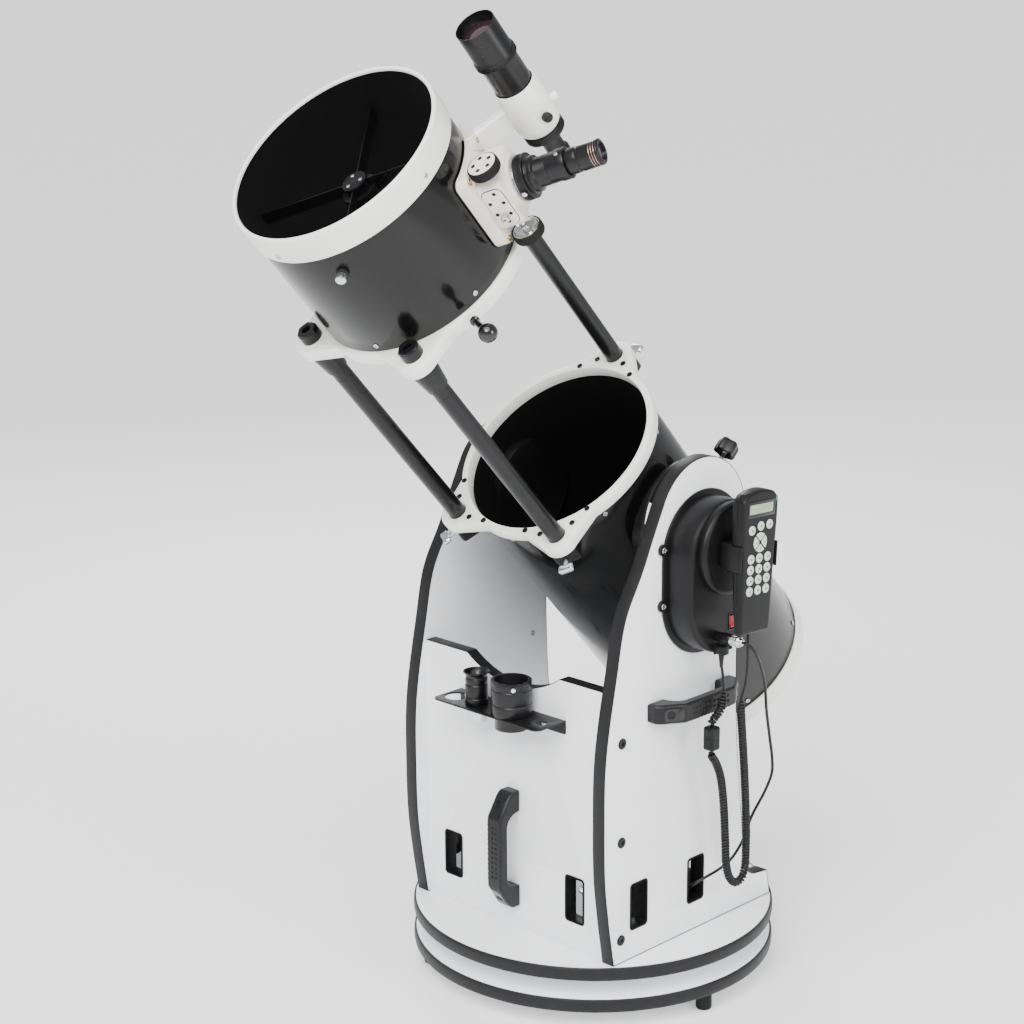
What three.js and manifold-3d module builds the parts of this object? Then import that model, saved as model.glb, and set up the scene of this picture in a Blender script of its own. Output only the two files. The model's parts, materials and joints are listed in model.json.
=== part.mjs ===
// A 254 mm collapsible truss-tube Dobsonian telescope on a motorised rocker base.
// Millimetres, +Z up. The base disc's centre is x = y = 0 and the floor is z = 0 while the parts are
// placed; the whole assembly is then moved so that the middle of its underside is the origin.
// +X is the side panel that carries the motor box, and the tube points towards -Y and up.
import * as THREE from "three";
import { mergeVertices } from "three/addons/utils/BufferGeometryUtils.js";
import Module from "manifold-3d";

const wasm = await Module();
wasm.setup();

// ---- driving dimensions -------------------------------------------------------------------------

const gap = 0.3; // clearance between pieces that touch
const runningGap = 0.4; // clearance round a turning or sliding piece
const saddleGap = 0.5; // clearance of a saddle on the faceted tube

const boardRadius = 288; // ground board and turning board
const boardThickness = 19.7;
const footHeight = 33;
const footRadius = 12.5;
const footCircle = 262;
const footFirstAngle = -7; // degrees
const bearingHeight = 31.8; // from ground board to turning board
const bearingInner = 170;
const bearingOuter = 222;
const pivotRadius = 10;

const panelInner = 188.9; // half the clear width between the side panels
const panelThickness = 22.6;
const frontPanelFace = -181.7; // y of the front panel's outer face
const frontPanelThickness = 20;
const frontPanelHeight = 424.6;
const notchHalfWidth = 97.6;
const notchDepth = 31.6;
const slotWidth = 37;
const slotHeight = 72.5;
const slotCorner = 5;

const altitudeHeight = 645.7; // altitude axis above the turning board's top
const altitudeY = 7.3;
const archRadius = 99.6; // round top of a side panel
const sideHalfDepth = 208.2; // reach of a side panel's front edge from x = y = 0

const tubeAltitude = 47.4; // degrees above the horizon at rest
const tubeOuter = 154.4;
const tubeWall = 1;
const openingRadius = 151.6;
const ringOuter = 158;
const frontEnd = 776; // stations along the tube from the altitude axis
const frontRingLength = 43.6;
const upperPlateTop = 548.6;
const lowerPlateTop = 138.8;
const plateThickness = 20;
const rearEnd = -440;
const rearRingLength = 30;

const strutRadius = 13.5;
const strutCircle = 178.5;
const strutAngles = [90, 235, 305];
const strutTail = 44; // strut below the lower plate's top
const lobeRadius = 28;
const socketRadius = 20;
const socketLength = 45;

const mirrorRadius = 127;
const mirrorThickness = 36;
const mirrorFace = -330;
const spiderStation = 719;
const spiderHubRadius = 18;
const vaneThickness = 1.2;
const secondaryRadius = 29; // half the minor axis
const secondaryThickness = 9;

const focuserStation = 633.6;
const focuserAngle = 28.9;
const drawtubeRadius = 25.4;
const drawtubeWall = 2;
const barrelRadius = 15.85; // 1.25 inch eyepiece barrel
const shaftSpacing = 7.6; // focus shaft's middle from the drawtube's surface
const shaftOffset = drawtubeRadius + shaftSpacing;
const shaftHeight = 191;
const focusKnobRadius = 22;

const finderAngle = 55;
const finderDistance = 248.5; // finder axis from the tube axis
const finderFront = 809.7;
const finderTubeRadius = 26.7;

const coverDepth = 48.5; // motor cover, from the panel to its main face
const coverRadius = 84.5;
const coverUpper = -38.7; // centres of its two round ends, from the altitude axis
const coverLower = -102.7;
const coverWall = 3;
const bossRadius = 70;
const bossDrop = 26.2; // boss centre below the altitude axis
const bossHeight = 13;
const altitudeShaftRadius = 31;
const altitudeGearRadius = 40;
const altitudePinionRadius = 9.6;

const controllerFace = 318; // x of the hand controller's front
const controllerThickness = 24;
const controllerLength = 214;
const controllerTopWidth = 80;
const controllerBottomWidth = 68;
const controllerAside = -1.3; // its middle from the altitude axis, along Y
const controllerDrop = 36.5; // and below it
const controllerTilt = 3; // degrees

// ---- values that follow from them ---------------------------------------------------------------

const groundTop = footHeight + boardThickness;
const boardBottom = groundTop + bearingHeight;
const deck = boardBottom + boardThickness; // top of the turning board
const axisZ = deck + altitudeHeight;
const panelOuter = panelInner + panelThickness;
const tubeInner = tubeOuter - tubeWall;
const rad = THREE.MathUtils.degToRad;

// ---- materials ----------------------------------------------------------------------------------

const finish = (color, roughness, metalness = 0) =>
  new THREE.MeshStandardMaterial({ color, roughness, metalness });
const whiteLaminate = finish(0xe9ebee, 0.55);
const whiteEnamel = finish(0xf0efeb, 0.25);
const blackGloss = finish(0x1b1819, 0.2, 0.3);
const blackSatin = finish(0x1c1c1d, 0.5);
const blackRubber = finish(0x141414, 0.8);
const blackPlastic = finish(0x2a2a2b, 0.55);
const castCream = finish(0xdad8cc, 0.35, 0.2);
const chromeMetal = finish(0xc9ccce, 0.15, 1);
const mirrorGlass = finish(0xdfe6ea, 0.05, 1);
const keyRubber = finish(0xdfe3dd, 0.7);
const redPlastic = finish(0xc4201c, 0.4);

// ---- building blocks ----------------------------------------------------------------------------

// Merges shared corners, drops slivers and turns the faces outward.
function weld(geometry) {
  const bare = new THREE.BufferGeometry();
  bare.setAttribute("position", geometry.getAttribute("position").clone());
  if (geometry.index) bare.setIndex(geometry.index.clone());
  const merged = mergeVertices(bare, 1e-3);
  const at = merged.getAttribute("position");
  const kept = [];
  const corner = [new THREE.Vector3(), new THREE.Vector3(), new THREE.Vector3()];
  let volume = 0;
  for (let i = 0; i < merged.index.count; i += 3) {
    const [a, b, c] = [0, 1, 2].map((k) => merged.index.getX(i + k));
    if (a === b || b === c || c === a) continue;
    kept.push(a, b, c);
    [a, b, c].forEach((v, k) => corner[k].fromBufferAttribute(at, v));
    volume += corner[0].dot(corner[1].cross(corner[2])) / 6;
  }
  if (volume < 0) kept.reverse();
  merged.setIndex(kept);
  return merged;
}

function solid(geometry) {
  const closed = weld(geometry);
  const vertProperties = new Float32Array(closed.getAttribute("position").array);
  const triVerts = new Uint32Array(closed.index.array);
  return new wasm.Manifold(new wasm.Mesh({ numProp: 3, vertProperties, triVerts }));
}

function geometryOf(manifold) {
  const { vertProperties, triVerts } = manifold.getMesh();
  const geometry = new THREE.BufferGeometry();
  geometry.setAttribute("position", new THREE.BufferAttribute(vertProperties, 3));
  geometry.setIndex(new THREE.BufferAttribute(triVerts, 1));
  return geometry;
}

const join = (...pieces) => geometryOf(pieces.map(solid).reduce((a, b) => a.add(b)));
const cut = (body, ...tools) =>
  geometryOf(tools.map(solid).reduce((a, b) => a.subtract(b), solid(body)));
const common = (a, b) => geometryOf(solid(a).intersect(solid(b)));

function place(parent, name, geometry, material) {
  const mesh = new THREE.Mesh(weld(geometry), material);
  mesh.name = name;
  parent.add(mesh);
  return mesh;
}

// Facets round a full turn, for pieces of the tube's size, of a hand's size and of a finger's size.
const coarse = 48;
const middling = 24;
const fine = 16;

// A turned piece about Z: profile is a closed loop, or starts and ends on the axis, as [radius, z].
function turned(profile, segments = middling) {
  const points = profile.map(([r, z]) => new THREE.Vector2(r, z));
  return new THREE.LatheGeometry(points, segments).rotateX(Math.PI / 2);
}

const rod = (radius, low, high, segments = middling) =>
  turned([[0, low], [radius, low], [radius, high], [0, high]], segments);

const pipe = (inner, outer, low, high, segments = coarse) =>
  turned([[inner, low], [outer, low], [outer, high], [inner, high], [inner, low]], segments);

const alongX = (geometry) => geometry.rotateY(Math.PI / 2);

const block = (x0, x1, y0, y1, z0, z1) =>
  new THREE.BoxGeometry(x1 - x0, y1 - y0, z1 - z0).translate(
    (x0 + x1) / 2, (y0 + y1) / 2, (z0 + z1) / 2);

// Flat outlines are lists of points; curved stretches are worked out here.
const point = (x, y) => new THREE.Vector2(x, y);

function arc(x, y, radius, from, to, steps) {
  const at = (i) => from + ((to - from) * i) / steps;
  return Array.from({ length: steps + 1 }, (_, i) =>
    point(x + radius * Math.cos(at(i)), y + radius * Math.sin(at(i))));
}

const circle = (x, y, radius, steps = middling) => arc(x, y, radius, 0, 2 * Math.PI, steps).slice(1);
const bend = (a, corner, b, steps = 3) => new THREE.QuadraticBezierCurve(a, corner, b).getPoints(steps);
const spline = (points) => new THREE.SplineCurve(points).getPoints(2 * (points.length - 1));

const roundedRect = (x0, x1, y0, y1, radius, steps = 2) =>
  [[x1, y0, -1], [x1, y1, 0], [x0, y1, 1], [x0, y0, 2]].flatMap(([x, y, quarter]) =>
    arc(x + (x > x0 ? -radius : radius), y + (y > y0 ? -radius : radius), radius,
      (quarter * Math.PI) / 2, ((quarter + 1) * Math.PI) / 2, steps));

// Upright stadium: two round ends of one radius joined by straight sides.
const stadium = (low, high, radius, steps = 12) =>
  [...arc(0, high, radius, 0, Math.PI, steps), ...arc(0, low, radius, Math.PI, 2 * Math.PI, steps)];

// Plates are an outline, with or without holes, given thickness along one axis.
function extrude(outline, depth, holes) {
  const shape = new THREE.Shape(outline);
  shape.holes = holes.map((hole) => new THREE.Path(hole));
  return new THREE.ExtrudeGeometry(shape, { depth, bevelEnabled: false });
}
const plateZ = (outline, z0, z1, holes = []) =>
  extrude(outline, z1 - z0, holes).translate(0, 0, z0);
const plateYZ = (outline, x0, x1, holes = []) =>
  extrude(outline, x1 - x0, holes).rotateX(Math.PI / 2).rotateZ(Math.PI / 2).translate(x0, 0, 0);
const plateXZ = (outline, y0, y1, holes = []) =>
  extrude(outline, y1 - y0, holes).rotateX(Math.PI / 2).translate(0, y1, 0);

const assembly = new THREE.Group();

// ---- ground board, feet and azimuth bearing -----------------------------------------------------

const ground = new THREE.Group();
assembly.add(ground);
place(ground, "ground_board", rod(boardRadius, footHeight, groundTop, coarse), whiteLaminate);
for (let i = 0; i < 3; i++) {
  const angle = rad(footFirstAngle + i * 120);
  const foot = place(ground, `foot_${i + 1}`, turned([[0, 0], [footRadius - 1.5, 0],
    [footRadius, 1.5], [footRadius, footHeight - gap], [0, footHeight - gap]], fine), blackRubber);
  foot.position.set(footCircle * Math.cos(angle), footCircle * Math.sin(angle), 0);
}
place(ground, "azimuth_bearing_ring",
  pipe(bearingInner, bearingOuter, groundTop + gap, boardBottom - gap, 48), whiteLaminate);
const pivotHeadRadius = 2.2 * pivotRadius;
place(ground, "azimuth_pivot_bolt", turned([[0, groundTop + gap], [pivotRadius, groundTop + gap],
  [pivotRadius, deck + runningGap], [pivotHeadRadius, deck + runningGap],
  [pivotHeadRadius, deck + pivotRadius], [0, deck + pivotRadius]]), chromeMetal);

// ---- turning board and azimuth drive ------------------------------------------------------------

const rocker = new THREE.Group();
assembly.add(rocker);
place(rocker, "turning_board", cut(rod(boardRadius, boardBottom, deck, coarse),
  rod(pivotRadius + runningGap, boardBottom - 1, deck + 1)), whiteLaminate);
const driveWidth = 78;
place(rocker, "azimuth_drive_housing", block(panelInner - 12 - driveWidth, panelInner - 12, -48, 48,
  deck + gap, deck + 74), blackPlastic);

// ---- rocker panels ------------------------------------------------------------------------------

// The side panel's outline, in shares of its half depth and of the altitude axis height.
const frontEdge = [[-0.942, 0.095], [-0.988, 0.208], [-1, 0.345], [-0.986, 0.51], [-0.876, 0.706],
  [-0.787, 0.83], [-0.619, 0.927], [-0.49, 1.012]];
const rearEdge = [[0.466, 0.929], [0.443, 0.664], [0.466, 0.46], [0.52, 0.301], [0.547, 0.226]];
const heelTop = 42.4;
const heelRear = 189.5;

const archCentre = altitudeHeight + 3.3;
const archStart = rad(150); // where the front edge runs into the round top
const archEnd = rad(10);

function sideOutline() {
  const at = ([y, z]) => point(y * sideHalfDepth, z * altitudeHeight);
  const archPoints = arc(altitudeY, archCentre, archRadius, archStart, archEnd, 16);
  return [point(-0.892 * sideHalfDepth, gap),
    ...spline([...frontEdge.map(at), archPoints[0]]),
    ...archPoints.slice(1),
    ...spline(rearEdge.map(at)),
    ...bend(point(0.557 * sideHalfDepth, heelTop + 40), point(0.57 * sideHalfDepth, heelTop + 3),
      point(heelRear - 45, heelTop + 3)),
    point(heelRear - 8, heelTop), point(heelRear, gap)];
}

function sidePanel(boreRadius) {
  const slots = [-130, 2].map((y) => roundedRect(y - slotWidth / 2, y + slotWidth / 2,
    47, 47 + slotHeight, slotCorner));
  const bore = circle(altitudeY, altitudeHeight, boreRadius);
  return plateYZ(sideOutline(), panelInner, panelOuter, [...slots, bore]).translate(0, 0, deck);
}

const panelBore = altitudeShaftRadius + runningGap;
place(rocker, "right_side_panel", sidePanel(panelBore), whiteLaminate);
place(rocker, "left_side_panel",
  sidePanel(panelBore).translate(-panelInner - panelOuter, 0, 0), whiteLaminate);

const frontHalf = panelInner - gap;
const notchRadius = (notchHalfWidth ** 2 + notchDepth ** 2) / (2 * notchDepth);
const notchSwing = Math.asin(notchHalfWidth / notchRadius);
const frontOutline = [point(-frontHalf, gap), point(frontHalf, gap),
  point(frontHalf, frontPanelHeight),
  ...arc(0, frontPanelHeight - notchDepth + notchRadius, notchRadius,
    -Math.PI / 2 + notchSwing, -Math.PI / 2 - notchSwing, 12),
  point(-frontHalf, frontPanelHeight)];
const frontSlots = [-131.9, 128.9].map((x) => roundedRect(x - slotWidth / 2, x + slotWidth / 2,
  45, 45 + slotHeight, slotCorner));
place(rocker, "front_panel", plateXZ(frontOutline, frontPanelFace,
  frontPanelFace + frontPanelThickness, frontSlots).translate(0, 0, deck), whiteLaminate);

// ---- carrying handles ---------------------------------------------------------------------------

const handleLength = 189.5;
const handleWidth = 30;
const handleReach = 44;
const handleFoot = 36;
const gripThickness = 20;

// The handle stands on X = 0 and reaches along +X; its length runs along Z from 0.
function handle() {
  const under = handleReach - gripThickness;
  const half = [point(gap, 0), point(handleReach * 0.6, 3),
    ...bend(point(handleReach * 0.6, 3), point(handleReach, 6), point(handleReach, 34)).slice(1)];
  const inner = [point(gap, handleFoot), point(under - 8, handleFoot + 3),
    ...bend(point(under - 8, handleFoot + 3), point(under, handleFoot + 6),
      point(under, handleFoot + 14)).slice(1)];
  const mirrored = (points) => points.map((p) => point(p.x, handleLength - p.y)).reverse();
  const outline = [...half, ...mirrored(half), ...mirrored(inner).reverse(), ...inner.reverse()];
  return plateXZ(outline, -handleWidth / 2, handleWidth / 2);
}
const handleBelowAxis = 264.1;
const sideHandleHeight = altitudeHeight - handleBelowAxis;
const sideHandleCentre = -19.5;
place(rocker, "front_handle", handle(), blackGloss);
rocker.children.at(-1).position.set(0, frontPanelFace, deck + 37);
rocker.children.at(-1).rotation.z = -Math.PI / 2;
for (const [name, side] of [["right_handle", 1], ["left_handle", -1]]) {
  const grip = handle().rotateX(-Math.PI / 2).translate(panelOuter, 0, 0);
  if (side < 0) grip.rotateZ(Math.PI);
  const start = side > 0 ? -handleLength / 2 : handleLength / 2;
  place(rocker, name, grip, blackGloss).position.set(
    0, sideHandleCentre + start, deck + sideHandleHeight);
}

// ---- eyepiece rack ------------------------------------------------------------------------------

const rackTop = deck + 363;
const rackThickness = 2.5;
const rackHalfWidth = 111.2;
const rackDepth = 64;
const rackHoles = [[-88, 17.5], [-44, barrelRadius + runningGap], [30, 25.4 + runningGap],
  [92, 8]];
const rackFace = frontPanelFace - gap;
const rackLine = rackFace - rackDepth / 2 - 1; // y of the row of holes

const shelf = roundedRect(-rackHalfWidth, rackHalfWidth, rackFace - rackDepth, rackFace, 3, 1);
const shelfHoles = rackHoles.map(([x, radius]) => circle(x, rackLine, radius, 20));
place(rocker, "eyepiece_rack", join(plateZ(shelf, rackTop - rackThickness, rackTop, shelfHoles),
  block(-rackHalfWidth, rackHalfWidth, rackFace - rackThickness, rackFace,
    rackTop - 22, rackTop - rackThickness / 2)), blackSatin);

// A spare eyepiece and the two-inch extension stand in the rack; each lifts straight out.
place(rocker, "rack_eyepiece", turned([[0, -28], [barrelRadius, -28], [barrelRadius, gap],
  [20, gap], [20, 26],
  [16, 36], [10, 36], [10, 31],
  [0, 31]], 24), blackSatin).position.set(rackHoles[1][0], rackLine, rackTop);
place(rocker, "rack_adapter", turned([[22, -22], [25.4, -22], [25.4, gap], [31, gap],
  [31, 46], [25.6, 46], [25.6, 4], [22, 4], [22, -22]], 24), blackSatin)
  .position.set(rackHoles[2][0], rackLine, rackTop);

// ---- motor box on the right panel ---------------------------------------------------------------

const motorBox = new THREE.Group();
motorBox.position.set(panelOuter, altitudeY, axisZ);
rocker.add(motorBox);

const coverFlange = coverRadius + 9;
const earRadius = 9;
const coverOutside = [
  plateYZ(stadium(coverLower, coverUpper, coverFlange), gap, 4),
  plateYZ(stadium(coverLower, coverUpper, coverRadius), gap, coverDepth),
  alongX(rod(bossRadius, coverDepth - 10, coverDepth + bossHeight, 36)).translate(0, 0, -bossDrop),
  ...[coverUpper + 18, coverLower - 3].flatMap((z) => [-1, 1].map((side) =>
    alongX(rod(earRadius, gap, 7, fine)).translate(0, side * coverFlange, z))),
];
const switchPlace = { y: 12, z: -141.9 };
const switchSize = { width: 11, height: 19 };
place(motorBox, "motor_cover", cut(join(...coverOutside),
  plateYZ(stadium(coverLower, coverUpper, coverRadius - coverWall), -1, coverDepth - coverWall),
  alongX(rod(bossRadius - coverWall, 1, coverDepth + bossHeight - coverWall, 36))
    .translate(0, 0, -bossDrop),
  block(coverDepth - 6, coverDepth + 1, switchPlace.y - switchSize.width / 2 - runningGap,
    switchPlace.y + switchSize.width / 2 + runningGap, switchPlace.z - switchSize.height / 2 - runningGap,
    switchPlace.z + switchSize.height / 2 + runningGap)), blackPlastic);
place(motorBox, "power_switch", new THREE.CylinderGeometry(
  switchSize.height / 2 - 1, switchSize.height / 2 - 1, switchSize.width, fine)
  .translate(coverDepth - 5.5, switchPlace.y, switchPlace.z), redPlastic);

// The geared drive inside the box.
const motorDrop = altitudeGearRadius + altitudePinionRadius + runningGap;
place(motorBox, "altitude_motor", alongX(turned([[0, 14], [24, 14], [24, 36], [17, 36], [17, 42],
  [0, 42]], 24)).translate(0, 0, -motorDrop), chromeMetal);
place(motorBox, "altitude_pinion", alongX(rod(altitudePinionRadius, 3, 13, fine))
  .translate(0, 0, -motorDrop), chromeMetal);

// ---- hand controller in its holder --------------------------------------------------------------

// In this group X points out of the panel, Z runs up the controller and 0 is the controller's middle.
const controller = new THREE.Group();
controller.position.set(controllerFace, altitudeY + controllerAside, axisZ - controllerDrop);
controller.rotation.x = -rad(controllerTilt);
rocker.add(controller);

const back = -controllerThickness;
const bossFace = panelOuter + coverDepth + bossHeight - controllerFace;
const cradleHalf = 37.5;
place(controller, "controller_holder", join(
  block(back - gap - 3, back - gap, -cradleHalf - 2.5, cradleHalf + 2.5, -12, 34),
  block(back - gap - 3, 2, cradleHalf, cradleHalf + 2.5, -12, 26),
  block(back - gap - 3, 2, -cradleHalf - 2.5, -cradleHalf, -12, 26),
  block(bossFace + 1, back - gap - 1, -18, 18, -6, 30)), blackSatin);

const keyDepth = 3.2;
const keyRadius = 5.6;
const topKeys = [[-20, 52], [0, 56], [20, 57]];
const arrowCentre = 33;
const numberKeys = [10, -6, -22, -38].flatMap((z) => [-19, 0, 19].map((y) => [y, z]));
const keyMat = { half: 27, travel: 0.8, web: 0.8 };

function controllerOutline(inset) {
  const top = controllerTopWidth / 2 - inset;
  const bottom = controllerBottomWidth / 2 - inset;
  const half = controllerLength / 2 - inset;
  const right = [point(bottom, half * 0.2), point(top, half * 0.62), point(top, half - 16)];
  const cornered = [...bend(point(bottom - 6, -half + 3), point(bottom, -half + 4),
    point(bottom, -half + 12), 2), ...right, ...bend(point(top, half - 12), point(top, half - 6),
    point(top - 8, half - 5), 2)];
  const mirrored = cornered.map((p) => point(-p.x, p.y)).reverse();
  return [...cornered, point(0, half), ...mirrored, point(0, -half)];
}

// A rubber mat of keys: a thin web in a recess of the case, with the keys standing through it.
function keyMatAt(low, high, keys) {
  return join(plateYZ(roundedRect(-keyMat.half, keyMat.half, low, high, 3, 1),
    -keyDepth, -keyDepth + keyMat.web), ...keys.map((key) => key.translate(-keyDepth, 0, 0)));
}
const roundKey = ([y, z]) => alongX(rod(keyRadius, keyMat.web / 2, keyDepth + 1.8, 10))
  .translate(0, y, z);
function arrowKey(quarter) {
  const [low, high] = [rad(quarter * 90 - 41), rad(quarter * 90 + 41)];
  const petal = [...arc(0, 0, 10.6, low, high, 4), ...arc(0, 0, 3, high, low, 2)];
  return plateYZ(petal, keyMat.web / 2, keyDepth + 1.8).translate(0, 0, arrowCentre - 3);
}
const mats = {
  controller_top_keys: [42.5, 66, topKeys.map(roundKey)],
  controller_arrow_keys: [18.5, 41.5, [0, 1, 2, 3].map(arrowKey)],
  controller_number_keys: [-47, 17.5, numberKeys.map(roundKey)],
};
const matRecesses = Object.values(mats).map(([low, high]) =>
  plateYZ(roundedRect(-keyMat.half - gap, keyMat.half + gap, low - gap, high + gap, 3, 1),
    -keyDepth - keyMat.travel - gap, 2));
place(controller, "hand_controller", cut(join(plateYZ(controllerOutline(3), back, 0),
  plateYZ(controllerOutline(0), back + 3, -3)), ...matRecesses), blackPlastic);
for (const [name, [low, high, keys]] of Object.entries(mats))
  place(controller, name, keyMatAt(low, high, keys), keyRubber);

// ---- optical tube: this group's Z is the tube axis and 0 is the altitude axis -------------------

const tube = new THREE.Group();
tube.position.set(0, altitudeY, axisZ);
tube.rotation.x = rad(90 - tubeAltitude);
assembly.add(tube);

const seat = tubeOuter + runningGap; // bore of a ring that the tube is pushed into
const lipDepth = 5;

// A lobed strut plate; the lip holds the end of a tube that enters it from one side.
function strutPlate(top, lipAtTop, holeRadius) {
  const spread = Math.acos((ringOuter + 4 - lobeRadius) / strutCircle);
  const [low, high] = [top - plateThickness, top];
  const reach = ringOuter + 4;
  const [away, aside] = [reach * Math.cos(spread), reach * Math.sin(spread)];
  const lobe = [point(reach * 0.75, 0), point(away, -aside),
    ...arc(strutCircle, 0, lobeRadius, -spread, spread, 8), point(away, aside)];
  const lobes = strutAngles.map((angle) => plateZ(lobe, low, high).rotateZ(rad(angle)));
  const lip = lipAtTop ? [low - 1, high - lipDepth] : [low + lipDepth, high + 1];
  return cut(join(rod(reach, low, high, coarse), ...lobes),
    rod(openingRadius, low - 1, high + 1, coarse), rod(seat, ...lip, coarse),
    ...strutAngles.map((angle) => rod(holeRadius, low - 1, high + 1, fine)
      .translate(strutCircle, 0, 0).rotateZ(rad(angle))));
}

const lowerTubeTop = lowerPlateTop - lipDepth - gap;
place(tube, "lower_tube", pipe(tubeInner, tubeOuter, rearEnd + lipDepth + gap, lowerTubeTop),
  blackGloss);

// Each strut slides through a clamp block that is screwed under the lower plate.
const clampHeight = 24;
const clampHalf = 20;
const lockRadius = 3;
function strutClamp(angle) {
  const top = lowerPlateTop - plateThickness;
  const low = top - clampHeight;
  return cut(block(strutCircle - clampHalf, strutCircle + clampHalf, -clampHalf, clampHalf, low, top + 1),
    rod(strutRadius + runningGap, low - 1, top + 5, fine).translate(strutCircle, 0, 0),
    rod(tubeOuter + saddleGap, low - 1, top + 5, coarse),
    alongX(rod(lockRadius + runningGap, 10, 30, 12)).translate(strutCircle, 0, (top + low) / 2))
    .rotateZ(rad(angle));
}
place(tube, "lower_plate", join(strutPlate(lowerPlateTop, true, strutRadius + runningGap),
  ...strutAngles.map(strutClamp)), whiteEnamel);
place(tube, "rear_ring", turned([[openingRadius - 6, rearEnd], [ringOuter - 3, rearEnd],
  [ringOuter, rearEnd + 3], [ringOuter, rearEnd + rearRingLength], [seat, rearEnd + rearRingLength],
  [seat, rearEnd + lipDepth], [openingRadius - 6, rearEnd + lipDepth], [openingRadius - 6, rearEnd]],
  coarse), whiteEnamel);

const mirrorBack = mirrorFace - mirrorThickness;
place(tube, "primary_mirror", rod(mirrorRadius, mirrorBack, mirrorFace, coarse), mirrorGlass);
const cellRadius = tubeInner - gap;
place(tube, "mirror_cell", join(pipe(cellRadius - 12, cellRadius, mirrorBack - 34, mirrorBack - 14),
  rod(30, mirrorBack - 30, mirrorBack - gap),
  ...[90, 210, 330].map((angle) =>
    block(0, cellRadius - 4, -14, 14, mirrorBack - 30, mirrorBack - 16).rotateZ(rad(angle))),
  ...[90, 210, 330].map((angle) =>
    rod(12, mirrorBack - 20, mirrorBack - gap, 12).translate(95, 0, 0).rotateZ(rad(angle)))),
  blackSatin);

// Bearing hubs: a saddle on the tube, a stepped disc and a shaft through the side panel.
const hubFace = panelInner - 3;
function altitudeHub(shaftEnd) {
  const turnedHub = alongX(turned([[0, 120], [78, 120], [78, 168], [92, 168], [92, 176],
    [74, 179], [74, hubFace], [altitudeShaftRadius, hubFace], [altitudeShaftRadius, shaftEnd],
    [0, shaftEnd]], 36));
  return cut(turnedHub, rod(tubeOuter + saddleGap, -130, 130, coarse));
}
place(tube, "right_altitude_hub", altitudeHub(panelOuter + 14), blackSatin);
place(tube, "left_altitude_hub", altitudeHub(panelOuter + 6).rotateZ(Math.PI), blackSatin);
place(tube, "altitude_gear", alongX(pipe(altitudeShaftRadius + gap, altitudeGearRadius,
  panelOuter + 3, panelOuter + 13, 36)), chromeMetal);

// The tension knob of the altitude clutch stands on the right hub.
const clutchX = (tubeOuter + hubFace) / 2 + 2;
const clutchKnob = turned([[0, 0], [4, 0], [4, 34], [9, 34], [17, 38], [18, 42], [18, 50], [15, 53],
  [0, 53]], fine).rotateX(-Math.PI / 2);
place(tube, "clutch_knob", clutchKnob, blackSatin).position.set(clutchX, 96, 0);

// Thumb bolts that lock the struts in the clamps under the lower plate.
const lockAt = lowerPlateTop - plateThickness - clampHeight / 2;
strutAngles.forEach((angle, i) => {
  const bolt = new THREE.Group();
  bolt.rotation.z = rad(angle);
  tube.add(bolt);
  place(bolt, `strut_lock_${i + 1}`, alongX(turned([[0, strutRadius + 1], [lockRadius, strutRadius + 1],
    [lockRadius, 24], [5, 24], [5, 34], [9, 34], [9, 46], [0, 46]], 12)), chromeMetal)
    .position.set(strutCircle, 0, lockAt);
});

// ---- upper assembly -----------------------------------------------------------------------------

const upper = new THREE.Group();
tube.add(upper);
const upperTubeLow = upperPlateTop - plateThickness + lipDepth + gap;
const upperTubeHigh = frontEnd - lipDepth - gap;
const plateBottom = upperPlateTop - plateThickness;

// Each strut with the socket under the upper plate and the clamp knob above it.
strutAngles.forEach((angle, i) => {
  const post = new THREE.Group();
  post.rotation.z = rad(angle);
  upper.add(post);
  place(post, `strut_${i + 1}`, turned([[0, lowerPlateTop - strutTail],
    [strutRadius, lowerPlateTop - strutTail], [strutRadius, plateBottom - socketLength],
    [socketRadius - 4, plateBottom - socketLength], [socketRadius, plateBottom - 8],
    [socketRadius, plateBottom - gap], [5, plateBottom - gap], [5, upperPlateTop + gap],
    [15.5, upperPlateTop + gap], [15.5, upperPlateTop + 17], [0, upperPlateTop + 17]], 18),
  blackSatin).position.set(strutCircle, 0, 0);
});
place(upper, "upper_plate", strutPlate(upperPlateTop, false, 5 + runningGap), whiteEnamel);
place(upper, "front_ring", turned([[openingRadius, frontEnd], [ringOuter - 3, frontEnd],
  [ringOuter, frontEnd - 3], [ringOuter, frontEnd - frontRingLength],
  [seat, frontEnd - frontRingLength], [seat, frontEnd - lipDepth],
  [openingRadius, frontEnd - lipDepth], [openingRadius, frontEnd]], coarse), whiteEnamel);

const focuser = new THREE.Group(); // X towards the front of the tube, Z out along the drawtube
const focuserOut = new THREE.Vector3(Math.cos(rad(focuserAngle)), Math.sin(rad(focuserAngle)), 0);
const forward = new THREE.Vector3(0, 0, 1);
focuser.quaternion.setFromRotationMatrix(new THREE.Matrix4().makeBasis(
  forward, new THREE.Vector3().crossVectors(focuserOut, forward), focuserOut));
focuser.position.set(0, 0, focuserStation);
upper.add(focuser);

place(upper, "upper_tube", cut(pipe(tubeInner, tubeOuter, upperTubeLow, upperTubeHigh),
  alongX(rod(drawtubeRadius + 2, tubeInner - 20, tubeOuter + 10)).rotateZ(rad(focuserAngle))
    .translate(0, 0, focuserStation)), blackGloss);

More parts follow.
